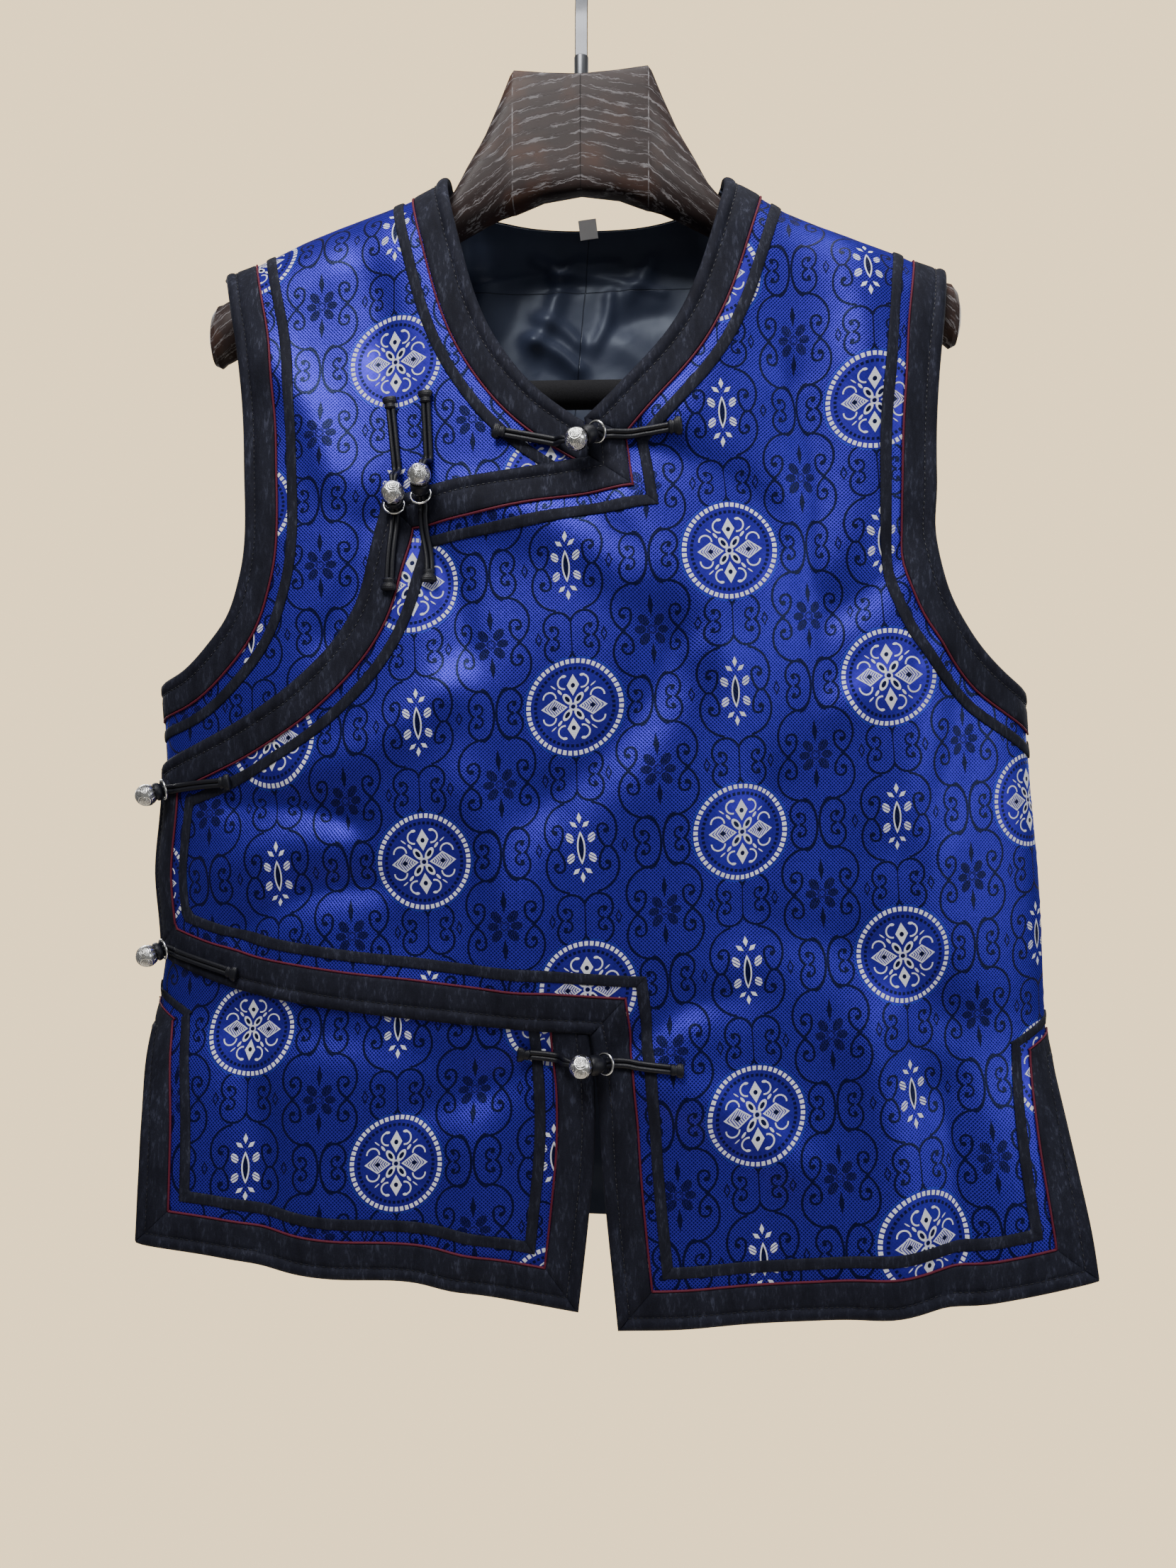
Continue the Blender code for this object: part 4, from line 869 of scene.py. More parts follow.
medallion, f, end = new_group("medallion", ("White", "Black", "Disc"), X=0.0, Y=0.0)
x, y = f["X"] * MEDALLION_SCALE, f["Y"] * MEDALLION_SCALE
u, v = abs(x), abs(y)
reach = distance(x, y)
angle = y.made("ARCTAN2", x)
white_dash = covered((0.34 - dashes(angle, RING_DASHES)) * 3.4, 0.3)
white_ring = line(reach - RING_REACH, RING_HALF) * white_dash
black_dash = covered((0.31 - dashes(angle, INNER_DASHES)) * 3.0, 0.3)
black_ring = line(reach - INNER_REACH, 1.0) * black_dash

side = lozenge(u - 12.2, y, 8.7, 6.0)
chevron = ((u + v * 0.75) * (1 / 1.75)).part()
side_thread = covered(abs(chevron - 0.5) * 1.75 - 0.36, 0.3)
side_edge_line = line(side - 0.35, 0.42)
side_heart = covered(lozenge(u - 12.2, y, 2.1, 1.9))
white_side = covered(side) * (side_thread * 0.85).highest(side_edge_line) * (1.0 - side_heart)

tall_heart = covered(oval(x, v - 13.6, 1.35, 1.5))
white_tall = covered(lozenge(x, v - 13.9, 4.0, 6.9)) * (1.0 - tall_heart)

px, py = turned_pair(u, v, 54)
petal = oval(px - 6.3, py, 4.1, 2.15)
white_petal = line(petal - 0.45, 0.5)
black_petal = covered(petal - 0.9)
heart = covered(1.25 - reach)
white_heart = line(reach - 2.0, 0.55)

up_side = u.above(5.0).highest(v.above(17.5)) * u.above(4.6)
white_up = line(distance(u - 5.7, v - 15.9) - 4.0, 0.52) * up_side
up_tip = covered(oval(u - 5.9, v - 19.9, 1.6, 0.85))
white_out = line(distance(u - 15.2, v - 6.4) - 4.1, 0.5) * v.above(6.2) * u.above(10.5)
leaf_x, leaf_y = turned_pair(u - 8.2, v - 9.6, 50)
leaf = covered(oval(leaf_x - 0.6, leaf_y, 2.0, 0.8))
tick = covered(oval(*turned_pair(u - 12.6, v - 13.4, 38), 1.9, 0.42))
white_curl = white_up.highest(up_tip, white_out, leaf, tick)

white = white_ring.highest(white_side, white_tall, white_petal * (1.0 - heart))
white = white.highest(white_heart * 0.8, white_curl)
black = black_ring.highest(black_petal, heart, side_heart, tall_heart)
feed_all(medallion, end, White=white, Black=black, Disc=covered(31.3 - reach, 0.3))
print("medallion of", 2 * (RING_REACH + RING_HALF), "mm")

# %% The almond
ALMOND_SCALE = 1.15
ALMOND_BOW = 11.6

almond, f, end = new_group("almond", ("White", "Black"), X=0.0, Y=0.0)
x, y = f["X"] * ALMOND_SCALE, f["Y"] * ALMOND_SCALE
u, v = abs(x), abs(y)
almond_depth = (ALMOND_BOW + 2.75) - distance(u + ALMOND_BOW, y * 0.78)
px, py = turned_pair(u - 7.2, v - 6.6, 62)
hatch = covered(abs(((px * 0.6 + py) * (1 / 2.1)).part() - 0.5) * 2.1 - 0.34, 0.3)
white_corner = covered(oval(px, py, 3.4, 2.3)) * hatch
tip = covered(lozenge(x, v - 19.3, 1.35, 2.9) + 0.25)
side_tip = covered(lozenge(*turned_pair(u - 4.0, v - 15.2, 38), 2.5, 1.25) + 0.25)
white = line(almond_depth - 0.5, 0.5).highest(white_corner, tip, side_tip)
feed_all(almond, end, White=white, Black=covered(almond_depth - 1.0))
print("almond drawn")

# %% [markdown]
# ## The black ground pattern
#
# Between the figures run black lines on blue: tall frames pinched at the waist, with curls
# inside, small diamonds, and a flower with two spikes where no figure stands. The whole
# pattern repeats after a half turn, so one quarter of a frame is drawn twice.

# %% Frames, curls and flowers
SCROLL_HALF = 0.72
FINE_SCROLL_HALF = 0.42


def round_figure(u, v):
    """A wide frame quarter whose curl starts at the waist."""
    frame_line = line(distance(u - 6.0, v - 10.4) - 14.9, SCROLL_HALF) * u.above(8.0)
    waist = line(v, SCROLL_HALF) * u.above(13.2) * u.below(17.6)
    stem = line(distance(u - 23.7, v - 9.6) - 13.8, SCROLL_HALF) * u.below(14.0) * v.below(9.7)
    hook_side = v.above(9.6).highest(u.above(13.0) * v.above(8.4))
    hook = line(distance(u - 12.9, v - 10.0) - 3.0, SCROLL_HALF) * hook_side
    bud = covered(1.5 - distance(u - 14.5, v - 9.0))
    return frame_line.highest(waist, stem, hook, bud)


def round_flower(u, v):
    """A frame quarter that is pinched at the waist, with the curl inside."""
    frame_line = line(distance(u - 8.0, v - 12.3) - 14.5, SCROLL_HALF) * u.above(8.0)
    stem = line(distance(u - 20.6, v - 9.3) - 9.5, SCROLL_HALF) * u.below(17.6) * v.below(9.6)
    open_side = v.above(8.6).highest(u.below(14.2) * v.above(8.0), u.above(16.2) * v.above(7.4))
    curl = line(distance(u - 14.4, v - 10.0) - 3.2, SCROLL_HALF) * open_side
    bud = covered(1.5 - distance(u - 15.8, v - 8.2))
    return frame_line.highest(stem, curl, bud)


def between_frames(u, v, joined, diamond_at):
    """The curls between one frame and the next in a column, joined by a stem or closed loops."""
    w = ROW_PITCH / 2 - v
    reach = line(distance(u - 7.8, w - 6.4) - 8.2, SCROLL_HALF)
    if joined:
        stem = line(u, FINE_SCROLL_HALF) * w.below(8.6)
        loops = (reach * u.above(7.8).highest(w.above(6.4))).highest(stem)
    else:
        closing = line(oval(u - 8.2, w, 7.5, 14.6), SCROLL_HALF) * u.below(8.0)
        loops = (reach * u.above(7.8)).highest(closing)
    curl_side = u.below(10.9).highest(w.above(4.6) * u.below(12.8))
    curl = line(distance(u - 10.7, w - 3.5) - 3.2, SCROLL_HALF * 0.9) * curl_side
    bud = covered(1.2 - distance(u - 11.3, w - 5.0))
    diamond = line(lozenge(u - diamond_at, w, 2.1, 4.4) - 0.4, FINE_SCROLL_HALF)
    return loops.highest(curl, bud, diamond)


def flower_quarter(u, v):
    reach = distance(u, v)
    side_petal = covered(oval(u - 6.6, v, 3.2, 2.4))
    upper_petal = covered(oval(*turned_pair(u - 4.5, v - 5.4, 52), 3.9, 2.6))
    spike = covered(lozenge(u, v - 14.0, 1.7, 6.8))
    streak = abs((reach * 0.9 + (u - v) * 0.5).part() - 0.5)
    petals = side_petal.highest(upper_petal) * covered(streak - 0.07, 0.12)
    return petals.highest(spike, line(reach - 2.2, 0.6) * 0.7)


scrolls, f, end = new_group("scrolls", ("Black",), U=0.0, V=0.0)
u, v = f["U"], f["V"]
far_u, far_v = COLUMN_PITCH / 2 - u, ROW_PITCH / 2 - v
black = round_figure(u, v).highest(
    between_frames(u, v, True, 19.2),
    round_flower(far_u, far_v),
    between_frames(far_u, far_v, False, 21.8),
    flower_quarter(far_u, far_v),
)
feed_all(scrolls, end, Black=black)
print("scrolls drawn with", len(scrolls.nodes), "nodes")

# %% [markdown]
# ## Brocade as one group
#
# The ground is a fine diamond weave: small dark diamonds between lighter crossing threads.
# The white thread is laid in satin stitch, raised and glossy. The black thread lies flatter.
# Where threads float they catch the light, so each thread also has its own roughness.

# %% The brocade
WEAVE_PITCH = 2.15
THREAD_PITCH = 0.62
EVEN_SHADE = 0.42

brocade, f, end = new_group(
    "brocade",
    ("Color", "Roughness", "Height", "Metal"),
    **PLACING,
    Silk=(0.0760, 0.0470, 0.730, 1),
    Deep_silk=(0.0075, 0.0050, 0.110, 1),
    White_thread=(0.90, 0.92, 0.94, 1),
    Black_thread=(0.0012, 0.0016, 0.010, 1),
)
places = place_group(brocade, repeat, **{name: f[name] for name in PLACING})
x, y, is_disc, u, v = (Field(brocade, socket) for socket in places.outputs)
disc = place_group(brocade, medallion, X=x, Y=y)
white_disc, black_disc, in_disc = (Field(brocade, socket) * is_disc for socket in disc.outputs)
small = place_group(brocade, almond, X=x, Y=y)
white_small, black_small = (Field(brocade, socket) * (1.0 - is_disc) for socket in small.outputs)
ground = Field(brocade, place_group(brocade, scrolls, U=u, V=v).outputs["Black"])
white = white_disc.highest(white_small)
black = black_disc.highest(black_small, ground * (1.0 - in_disc))

mm_x, mm_y = (part * 1000.0 for part in axes(brocade, f["Cloth"])[:2])
first = abs(((mm_x + mm_y) * (pi / WEAVE_PITCH)).sine())
second = abs(((mm_x - mm_y) * (pi / WEAVE_PITCH)).sine())
plain_ground = (1.0 - in_disc * 0.9) * (1.0 - white)
cell = first.lowest(second) * plain_ground + (1.0 - plain_ground) * EVEN_SHADE
thread_run = abs((mm_y * (pi / THREAD_PITCH) + mm_x * 0.35).sine())
thread_noise = noise(brocade, f["Cloth"], 420.0, 2.0)
patch = noise(brocade, f["Cloth"], 14.0, 2.0)
slack = noise(brocade, f["Cloth"], 30.0, 3.0)

weave_share = (cell * 1.25 + thread_noise * 0.4 - 0.2).held()
silk = blend_colour(brocade, weave_share, f["Silk"], f["Deep_silk"])
rim = line(distance(x, y) - 29.3, 0.35) * is_disc
silk = blend_colour(brocade, rim * 0.45, silk, (0.03, 0.09, 0.62, 1))
inked = blend_colour(brocade, black * (0.88 + thread_noise * 0.12), silk, f["Black_thread"])
feed_all(
    brocade,
    end,
    Color=blend_colour(brocade, white * (0.70 + thread_run * 0.30), inked, f["White_thread"]),
    Roughness=0.36 + patch * 0.10 - black * 0.06 + white * 0.10 + (1.0 - cell) * 0.06,
    Height=(1.0 - cell) * 0.35 + white * (0.8 + thread_run * 0.35) + black * 0.22 + slack * 2.4,
    Metal=(1.0 - white) * (1.0 - black) * 0.75,
)
print("brocade group with", len(brocade.nodes), "nodes of its own")

# %% [markdown]
# ## The materials
#
# Shaders stay in each material, and the groups feed them colours, masks and heights. The three
# brocade materials differ only in how the repeat falls on each piece of cloth.

# %% Starting a material
def start_material(name, colour, roughness, metallic=0.0, specular=0.5):
    material = bpy.data.materials.new(name)
    material.use_nodes = True
    tree = material.node_tree
    shader = tree.nodes["Principled BSDF"]
    feed_all(tree, shader, Base_Color=(*colour, 1), Roughness=roughness, Metallic=metallic)
    feed_all(tree, shader, Specular_IOR_Level=specular)
    return material, tree, shader


def add_bump(tree, shader, height, distance_mm, strength):
    bump = tree.nodes.new("ShaderNodeBump")
    feed_all(tree, bump, Distance=distance_mm * MM, Strength=strength, Height=height)
    feed_all(tree, shader, Normal=bump.outputs["Normal"])


def object_place(tree):
    return tree.nodes.new("ShaderNodeTexCoord").outputs["Object"]


def cloth_place(tree):
    node = tree.nodes.new("ShaderNodeUVMap")
    node.uv_map = "cloth"
    return node.outputs["UV"]


def wear_group(tree, shader, node, bump_mm, bump_strength):
    """Gives a shader the colour, roughness and height of a placed group."""
    feed_all(tree, shader, Base_Color=node.outputs["Color"], Roughness=node.outputs["Roughness"])
    add_bump(tree, shader, node.outputs["Height"], bump_mm, bump_strength)

# %% Silk brocade
def brocade_material(name, **placing):
    material, tree, shader = start_material(name, (0.001, 0.01, 0.5), 0.4, specular=0.32)
    group = place_group(tree, brocade, Cloth=cloth_place(tree), **placing)
    wear_group(tree, shader, group, 0.35, 0.6)
    feed_all(tree, shader, Metallic=group.outputs["Metal"], Specular_Tint=(0.35, 0.50, 1.0, 1))
    return material


brocade_outer = brocade_material(
    "brocade_outer", First_across=-1.0, First_down=507.0, Turn=5.5, Lean=2.8
)
brocade_inner = brocade_material(
    "brocade_inner", First_across=-109.0, First_down=298.9, Turn=3.6, Lean=0.4, Row_pitch=79.2
)
brocade_back = brocade_material("brocade_back", First_down=470.0, Turn=0.8, Lean=0.5)

# %% Black satin
SEAM_TOP = 0.193
YOKE_DOWN = 0.2238


def satin_material(name, seamed):
    """Black satin. The back's lining also has a seam down its middle and one below the neck."""
    material, tree, shader = start_material(name, (0.003, 0.0035, 0.007), 0.40, specular=0.34)
    place = object_place(tree)
    weave = noise(tree, place, 1400.0, 2.0)
    soft = noise(tree, place, 26.0, 3.0)
    crumple = 1.0 - abs(noise(tree, place, 38.0, 2.0, 0.4) - 0.5) * 5.0
    crumple = crumple.highest(0.0) * ((soft - 0.42) * 5.0).held()
    tint = blend_colour(tree, soft, (0.015, 0.019, 0.039, 1), (0.038, 0.048, 0.086, 1))
    height = weave * 0.06 + soft + crumple * 0.35
    if seamed:
        across, down, _ = axes(tree, cloth_place(tree))
        wander = (soft - 0.5) * 2.0
        lean = (down - SEAM_TOP) * 0.08
        middle = line((across - 0.0030 + lean) * 1000.0 + wander, 0.30, 0.35)
        yoke = line((down - YOKE_DOWN) * 1000.0 + wander * 1.6, 0.28, 0.35)
        stitched = middle.highest(yoke)
        tint = blend_colour(tree, stitched * 0.7, tint, (0.002, 0.002, 0.004, 1))
        height = height - stitched * 0.9
    feed_all(tree, shader, Base_Color=tint, Roughness=0.36 + soft * 0.16)
    feed_all(tree, shader, Specular_Tint=(0.76, 0.86, 1.0, 1))
    add_bump(tree, shader, height, 1.1, 0.35)
    return material


satin = satin_material("satin", False)
satin_seamed = satin_material("satin_seamed", True)

# %% Suede trim
nap, f, end = new_group(
    "nap",
    ("Color", "Roughness", "Height"),
    Place=None,
    Dark=(0.0035, 0.0040, 0.0105, 1),
    Pale=(0.046, 0.051, 0.086, 1),
)
fine = noise(nap, f["Place"], 1500.0, 2.0, 0.6)
combed = stretched(nap, f["Place"], (1.0, 1.0, 0.30), 38)
grain = noise(nap, combed, 560.0, 3.0, 0.65)
brushed = noise(nap, combed, 110.0, 4.0, 0.6)
pucker = noise(nap, f["Place"], 80.0, 2.0)
fleck = ((grain - 0.52) * 6.0).held() * ((brushed - 0.38) * 4.0).held()
share = (fleck * 0.62 + (brushed - 0.5) * 0.50 + (fine - 0.5) * 0.35 + 0.12).held()
feed_all(
    nap,
    end,
    Color=blend_colour(nap, share, f["Dark"], f["Pale"]),
    Roughness=0.80 - fleck * 0.22 + (fine - 0.5) * 0.2,
    Height=grain * 0.6 + fine * 0.4 + fleck * 0.3 + pucker * 3.0,
)

suede, tree, shader = start_material("suede", (0.006, 0.006, 0.011), 0.8, specular=0.22)
wear_group(tree, shader, place_group(tree, nap, Place=object_place(tree)), 0.25, 0.8)

# %% Threads, cords and piping
def thread_material(name, dark, pale, roughness, scale, specular=0.5, bump=0.15):
    material, tree, shader = start_material(name, dark, roughness, specular=specular)
    fibre = noise(tree, object_place(tree), scale, 3.0, 0.6)
    colour = blend_colour(tree, fibre, (*dark, 1), (*pale, 1))
    feed_all(tree, shader, Base_Color=colour, Roughness=fibre * 0.2 + (roughness - 0.1))
    add_bump(tree, shader, fibre, bump, 0.6)
    return material


piping_red = thread_material(
    "piping_red", (0.070, 0.0050, 0.016), (0.150, 0.014, 0.036), 0.6, 1400.0, 0.25
)
thread = thread_material("thread", (0.006, 0.006, 0.010), (0.022, 0.022, 0.030), 0.5, 1800.0)
cord_black = thread_material(
    "cord_black", (0.0015, 0.0018, 0.0045), (0.006, 0.007, 0.014), 0.48, 1500.0, 0.4
)
# The grey tape's colour is painted near white. This painted light makes up for the hanger's shade over
# the tab.
tab_painted_lighter = thread_material("tab_painted_lighter", (0.95, 0.95, 0.98), (1.0, 1.0, 1.0), 0.8, 1500.0)
flock = thread_material(
    "flock", (0.003, 0.003, 0.004), (0.028, 0.028, 0.032), 0.95, 1300.0, 0.2, 0.5
)

# %% Silver
silver, tree, shader = start_material("silver", (0.80, 0.80, 0.78), 0.22, metallic=1.0)
groove = tree.nodes.new("ShaderNodeAttribute")
groove.attribute_name = "groove"
depth = Field(tree, groove.outputs["Fac"])
wear = noise(tree, object_place(tree), 700.0, 3.0)
tarnish = (depth * 0.80 + (wear - 0.5) * 0.25).held()
colour = blend_colour(tree, tarnish, (0.86, 0.86, 0.84, 1), (0.16, 0.16, 0.165, 1))
feed_all(tree, shader, Base_Color=colour, Roughness=0.17 + depth * 0.25 + wear * 0.10)

# %% Satin steel
steel, tree, shader = start_material("steel", (0.16, 0.165, 0.18), 0.4, metallic=1.0)
brushed = noise(tree, stretched(tree, object_place(tree), (1.0, 1.0, 0.03)), 2600.0, 2.0)
colour = blend_colour(tree, brushed, (0.12, 0.125, 0.14, 1), (0.20, 0.205, 0.22, 1))
feed_all(tree, shader, Base_Color=colour, Roughness=0.34 + brushed * 0.16)
print("cloth, thread and metal ready")

# %% [markdown]
# ## Open-grained wood
#
# The block is made of two boards whose grain runs out sideways and down from the middle, so
# the pale, limed pores form chevrons. On the arms the grain follows the arm. The pores are
# long thin cells: a noise squeezed hard along the grain.

# %% Dark limed wood
RING_PITCH = 0.0072
BLOCK_HALF = 0.043

grain_group, f, end = new_group(
    "open grain", ("Color", "Roughness", "Height"), Place=None, Slope=0.22
)
px, py, pz = axes(grain_group, f["Place"])
warp = noise(grain_group, f["Place"], 26.0, 2.0) - 0.5
far = (abs(px) - BLOCK_HALF).highest(0.0)
line_up = pz + abs(px) * f["Slope"] + far * 0.62 + warp * 0.009 + py * 0.2
ripple = noise(grain_group, f["Place"], 230.0, 3.0, 0.6) - 0.5
lay = grain_group.nodes.new("ShaderNodeCombineXYZ")
feed_all(grain_group, lay, X=px * 0.09, Y=py * 0.5, Z=line_up + ripple * 0.0030)
pores = noise(grain_group, lay.outputs[0], 1150.0, 3.0, 0.6)
tone = noise(grain_group, lay.outputs[0], 150.0, 3.0)
rings = abs(((line_up + ripple * 0.0040) * (pi / RING_PITCH)).sine())
open_pore = ((pores - 0.48) * 11.0).held() * ((rings - 0.78) * 7.0).held()
open_pore = open_pore.highest(((pores - 0.62) * 10.0).highest(0.0).lowest(0.30))
patch = ((noise(grain_group, f["Place"], 34.0, 2.0) - 0.48) * 5.0).held()
dark_wood = blend_colour(
    grain_group, tone, (0.0085, 0.0062, 0.0068, 1), (0.056, 0.036, 0.034, 1)
)
dark_wood = blend_colour(grain_group, patch * tone, dark_wood, (0.084, 0.036, 0.021, 1))
worn = ((noise(grain_group, f["Place"], 190.0, 2.0) - 0.38) * 5.0).held()
crease = line((abs(px) - 0.0425) * 1000.0, 0.34, 0.3) * worn
joint = line(px * 1000.0, 0.22, 0.25) * abs(px).below(0.045)
pale = (open_pore * 0.72).highest(crease * 0.8)
limed = blend_colour(grain_group, pale, dark_wood, (0.27, 0.255, 0.265, 1))
feed_all(
    grain_group,
    end,
    Color=blend_colour(grain_group, joint * 0.8, limed, (0.004, 0.003, 0.003, 1)),
    Roughness=0.42 + open_pore * 0.35 + tone * 0.1,
    Height=tone * 0.3 - open_pore * 1.0 - joint * 1.0,
)

wood, tree, shader = start_material("wood", (0.03, 0.015, 0.01), 0.45, specular=0.22)
wear_group(tree, shader, place_group(tree, grain_group, Place=object_place(tree)), 0.25, 0.6)

# %% The floor's pale finish
pale_floor, tree, shader = start_material("pale_floor", (0.97, 0.88, 0.75), 0.85, specular=0.2)
feed_all(tree, shader, Emission_Color=(1.0, 0.84, 0.62, 1), Emission_Strength=0.22)
print(len(bpy.data.materials), "materials")

# %% [markdown]
# ## The panels
#
# Two fronts, one back and the back's satin lining are cut from cloth. One triangulation of the
# flat cloth serves both fronts, with every cut edge as a row of edges, so the overlapping
# fronts follow each other exactly and never poke through. Each piece is a thin wall with an
# outer face, an inner face and a rim.

# %% Making mesh objects
def add_piece(name, mesh, materials):
    """Puts a mesh in the scene as a piece that rides on the vest."""
    obj = bpy.data.objects.new(name, mesh)
    bpy.context.scene.collection.objects.link(obj)
    for material in materials:
        mesh.materials.append(material)
    mesh.polygons.foreach_set("use_smooth", [True] * len(mesh.polygons))
    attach(obj, BODY)
    return obj


def mark_sharp(mesh, degrees):
    """Keeps edges crisp where two faces meet at more than this angle."""
    mesh.set_sharp_from_angle(angle=radians(degrees))

# %% Which points lie inside an outline
INSIDE_PARTS = 12


def inside(points, outline):
    """Whether each point lies inside a closed outline, worked out in parts to save memory."""
    ax, ay = outline[:, 0], outline[:, 1]
    bx, by = np.roll(ax, -1), np.roll(ay, -1)
    found = []
    for some in np.array_split(points, INSIDE_PARTS):
        x, y = some[:, :1], some[:, 1:]
        crosses = (ay > y) != (by > y)
        with np.errstate(divide="ignore", invalid="ignore"):
            meets = (bx - ax) * (y - ay) / (by - ay) + ax
        found.append((crosses & (x < meets)).sum(axis=1) % 2 == 1)
    return np.concatenate(found)

# %% One triangulation for each side of the vest
PANEL_GRID = 5.0
NECK_GRID = 2.2
ROW_SHARE = 0.866


def even_line(edge, step=FINE_STATION):
    """A polyline with stations at even steps."""
    length = measured(edge)[-1]
    return points_along(edge, np.linspace(0, length, max(2, round(length / step)) + 1))


def nearest_distance(points, lines):
    """Each point's distance to the nearest station of some polylines."""
    stations = np.concatenate([even_line(line, 2.0) for line in lines])
    tree = KDTree(len(stations))
    for i, (a, b) in enumerate(stations):
        tree.insert((a, b, 0), i)
    tree.balance()
    return np.array([tree.find((a, b, 0))[2] for a, b in points])


def staggered(low, high, pitch):
    """Points in rows that are shifted by half a pitch, as in a honeycomb."""
    rows = []
    for j, down in enumerate(np.arange(low[1], high[1], pitch * ROW_SHARE)):
        across = np.arange(low[0] + (j % 2) * pitch / 2, high[0], pitch)
        rows.append(np.stack([across, np.full(len(across), down)], axis=1))
    return np.concatenate(rows)


def triangulate(outlines, finer):
    """One triangulation of the cloth inside the outlines, smaller in the finer box.

    All triangles run the same way round in cloth coordinates.
    """
    rows = [np.vstack([o, o[:1]]) for o in outlines]
    every = np.concatenate(outlines)
    grid = staggered(every.min(axis=0), every.max(axis=0), PANEL_GRID)
    if finer is not None:
        coarse = ((grid < finer[0]) | (grid > finer[1])).any(axis=1)
        grid = np.concatenate([grid[coarse], staggered(*finer, NECK_GRID)])
    grid = grid[np.any([inside(grid, o) for o in outlines], axis=0)]
    grid = grid[nearest_distance(grid, rows) > 0.5 * PANEL_GRID]
    points, edges = grid.tolist(), []
    for row in rows:
        start = len(points)
        points += row.tolist()
        edges += [(start + i, start + i + 1) for i in range(len(row) - 1)]
    points = [Vector(p) for p in points]
    found, _, faces, _, _, _ = delaunay_2d_cdt(points, edges, [], 0, 0.1, False)
    flat = np.array([tuple(p) for p in found])
    faces = np.array([f for f in faces if len(f) == 3])
    a, b, c = (flat[faces[:, k]] for k in range(3))
    area = (b[:, 0] - a[:, 0]) * (c[:, 1] - a[:, 1]) - (b[:, 1] - a[:, 1]) * (c[:, 0] - a[:, 0])
    return flat, np.where((area < 0)[:, None], faces[:, ::-1], faces)

# %% A panel as a thin wall
def new_mesh(name, points, faces):
    """A mesh from points in metres."""
    mesh = bpy.data.meshes.new(name)
    mesh.from_pydata(np.asarray(points).tolist(), [], faces)
    return mesh


def cloth_map(mesh, flat):
    """Gives each corner its flat place on the cloth, in metres, for the weave to follow."""
    layer = mesh.uv_layers.new(name="cloth")
    corner_points = np.empty(len(mesh.loops), np.int32)
    mesh.loops.foreach_get("vertex_index", corner_points)
    layer.data.foreach_set("uv", (flat[corner_points] * MM).ravel().astype(np.float32))


class Sheet:
    """The triangulated cloth of one side of the vest."""

    def __init__(self, outlines, back, finer=None):
        self.flat, faces = triangulate(outlines, finer)
        self.faces = faces if back else faces[:, ::-1]
        self.centres = self.flat[self.faces].mean(axis=1)
        self.back = back

    def piece(self, name, outline, out, thick, finishes, slot):
        """A wall inside an outline, from one distance out, with the size and area of its cut."""
        used, index = np.unique(self.faces[inside(self.centres, outline)], return_inverse=True)
        faces = index.reshape(-1, 3)
        flat = self.flat[used]
        count = len(used)
        sag = satin_sag(*flat.T) if slot == "lining" else 0
        walls = [
            hang(np.column_stack([flat, np.full(count, height) - sag]), self.back)
            for height in (out, out + thick)
        ]
        ends = np.concatenate([faces[:, [0, 1]], faces[:, [1, 2]], faces[:, [2, 0]]])
        pairs = {tuple(e) for e in ends.tolist()}
        rim = [(a, b, b + count, a + count) for a, b in pairs if (b, a) not in pairs]
        every = (faces + count).tolist() + faces[:, ::-1].tolist() + sorted(rim)
        mesh = new_mesh(name, np.concatenate(walls), every)
        obj = add_piece(name, mesh, finishes)
        inner_faces = [int(i >= len(faces)) for i in range(len(every))]
        mesh.polygons.foreach_set("material_index", inner_faces)
        cloth_map(mesh, np.concatenate([flat, flat]))
        mark_sharp(mesh, 50)
        x, y = outline.T
        area = abs(x @ np.roll(y, -1) - y @ np.roll(x, -1)) / 2
        cut = outline.max(axis=0) - outline.min(axis=0)
        print(name, "cut from", np.round(cut), "mm, flat area", round(area / 1e6, 4), "m2")
        return obj, tuple(cut * MM), area / 1e6

# %% [markdown]
# ## The lining's own folds
#
# The satin lining is cut a little larger than the back, so it hangs in loose folds of its own.
# Its folds only sag towards the body, so it never touches the brocade behind it.

# %% How far the lining sags
LINING_FOLDS = table(
    Crease,
    (-19, 228, -34, 258, 6, 3.6), (-42, 228, -60, 262, 10, -2.2), (-68, 222, -80, 252, 9, 2.8),
    (-28, 242, -5, 257, 5, 2.8), (-34, 257, -5, 275, 5, 4.0), (-27, 275, -10, 288, 7, -2.2),
    (17, 228, 8, 258, 4.5, 2.6), (26, 247, 50, 240, 8, -2.2), (28, 262, 56, 294, 12, 3.2),
    (-30, 202, -16, 214, 5, 3.4), (-16, 214, -2, 203, 5, 3.2), (-22, 221, -4, 219, 5, -2.0),
    (4, 207, 20, 205, 4, 2.4), (44, 205, 31, 224, 6, 3.0), (-74, 220, 52, 225, 3, 1.4),
    (-92, 272, -40, 330, 13, 4.2), (56, 330, 90, 252, 13, 4.0), (-60, 380, -110, 520, 18, 4.0),
    (64, 400, 118, 560, 18, 4.0), (4, 420, -8, 640, 16, 3.6), (-140, 600, -120, 800, 20, 3.6),
    (130, 610, 120, 800, 20, 3.6),
)
LINING_CALM = 18.0
LINING_EASE = 2.2
BACK_NECK_DOWN = 185.0
LINING_EDGE = 225.0


def satin_sag(across, down):
    """How far the lining hangs away from the back, none at its sewn edges."""
    sag = np.maximum(LINING_EASE + ridge_height(LINING_FOLDS, across, down), 0)
    for clear in (
        down - BACK_NECK_DOWN - 6,
        BACK_HEM_SIDE - 12 - down,
        LINING_EDGE - np.abs(across),
        down - shoulder_down(across) - 12,
    ):
        sag = sag * np.clip(clear / LINING_CALM, 0, 1)
    return sag

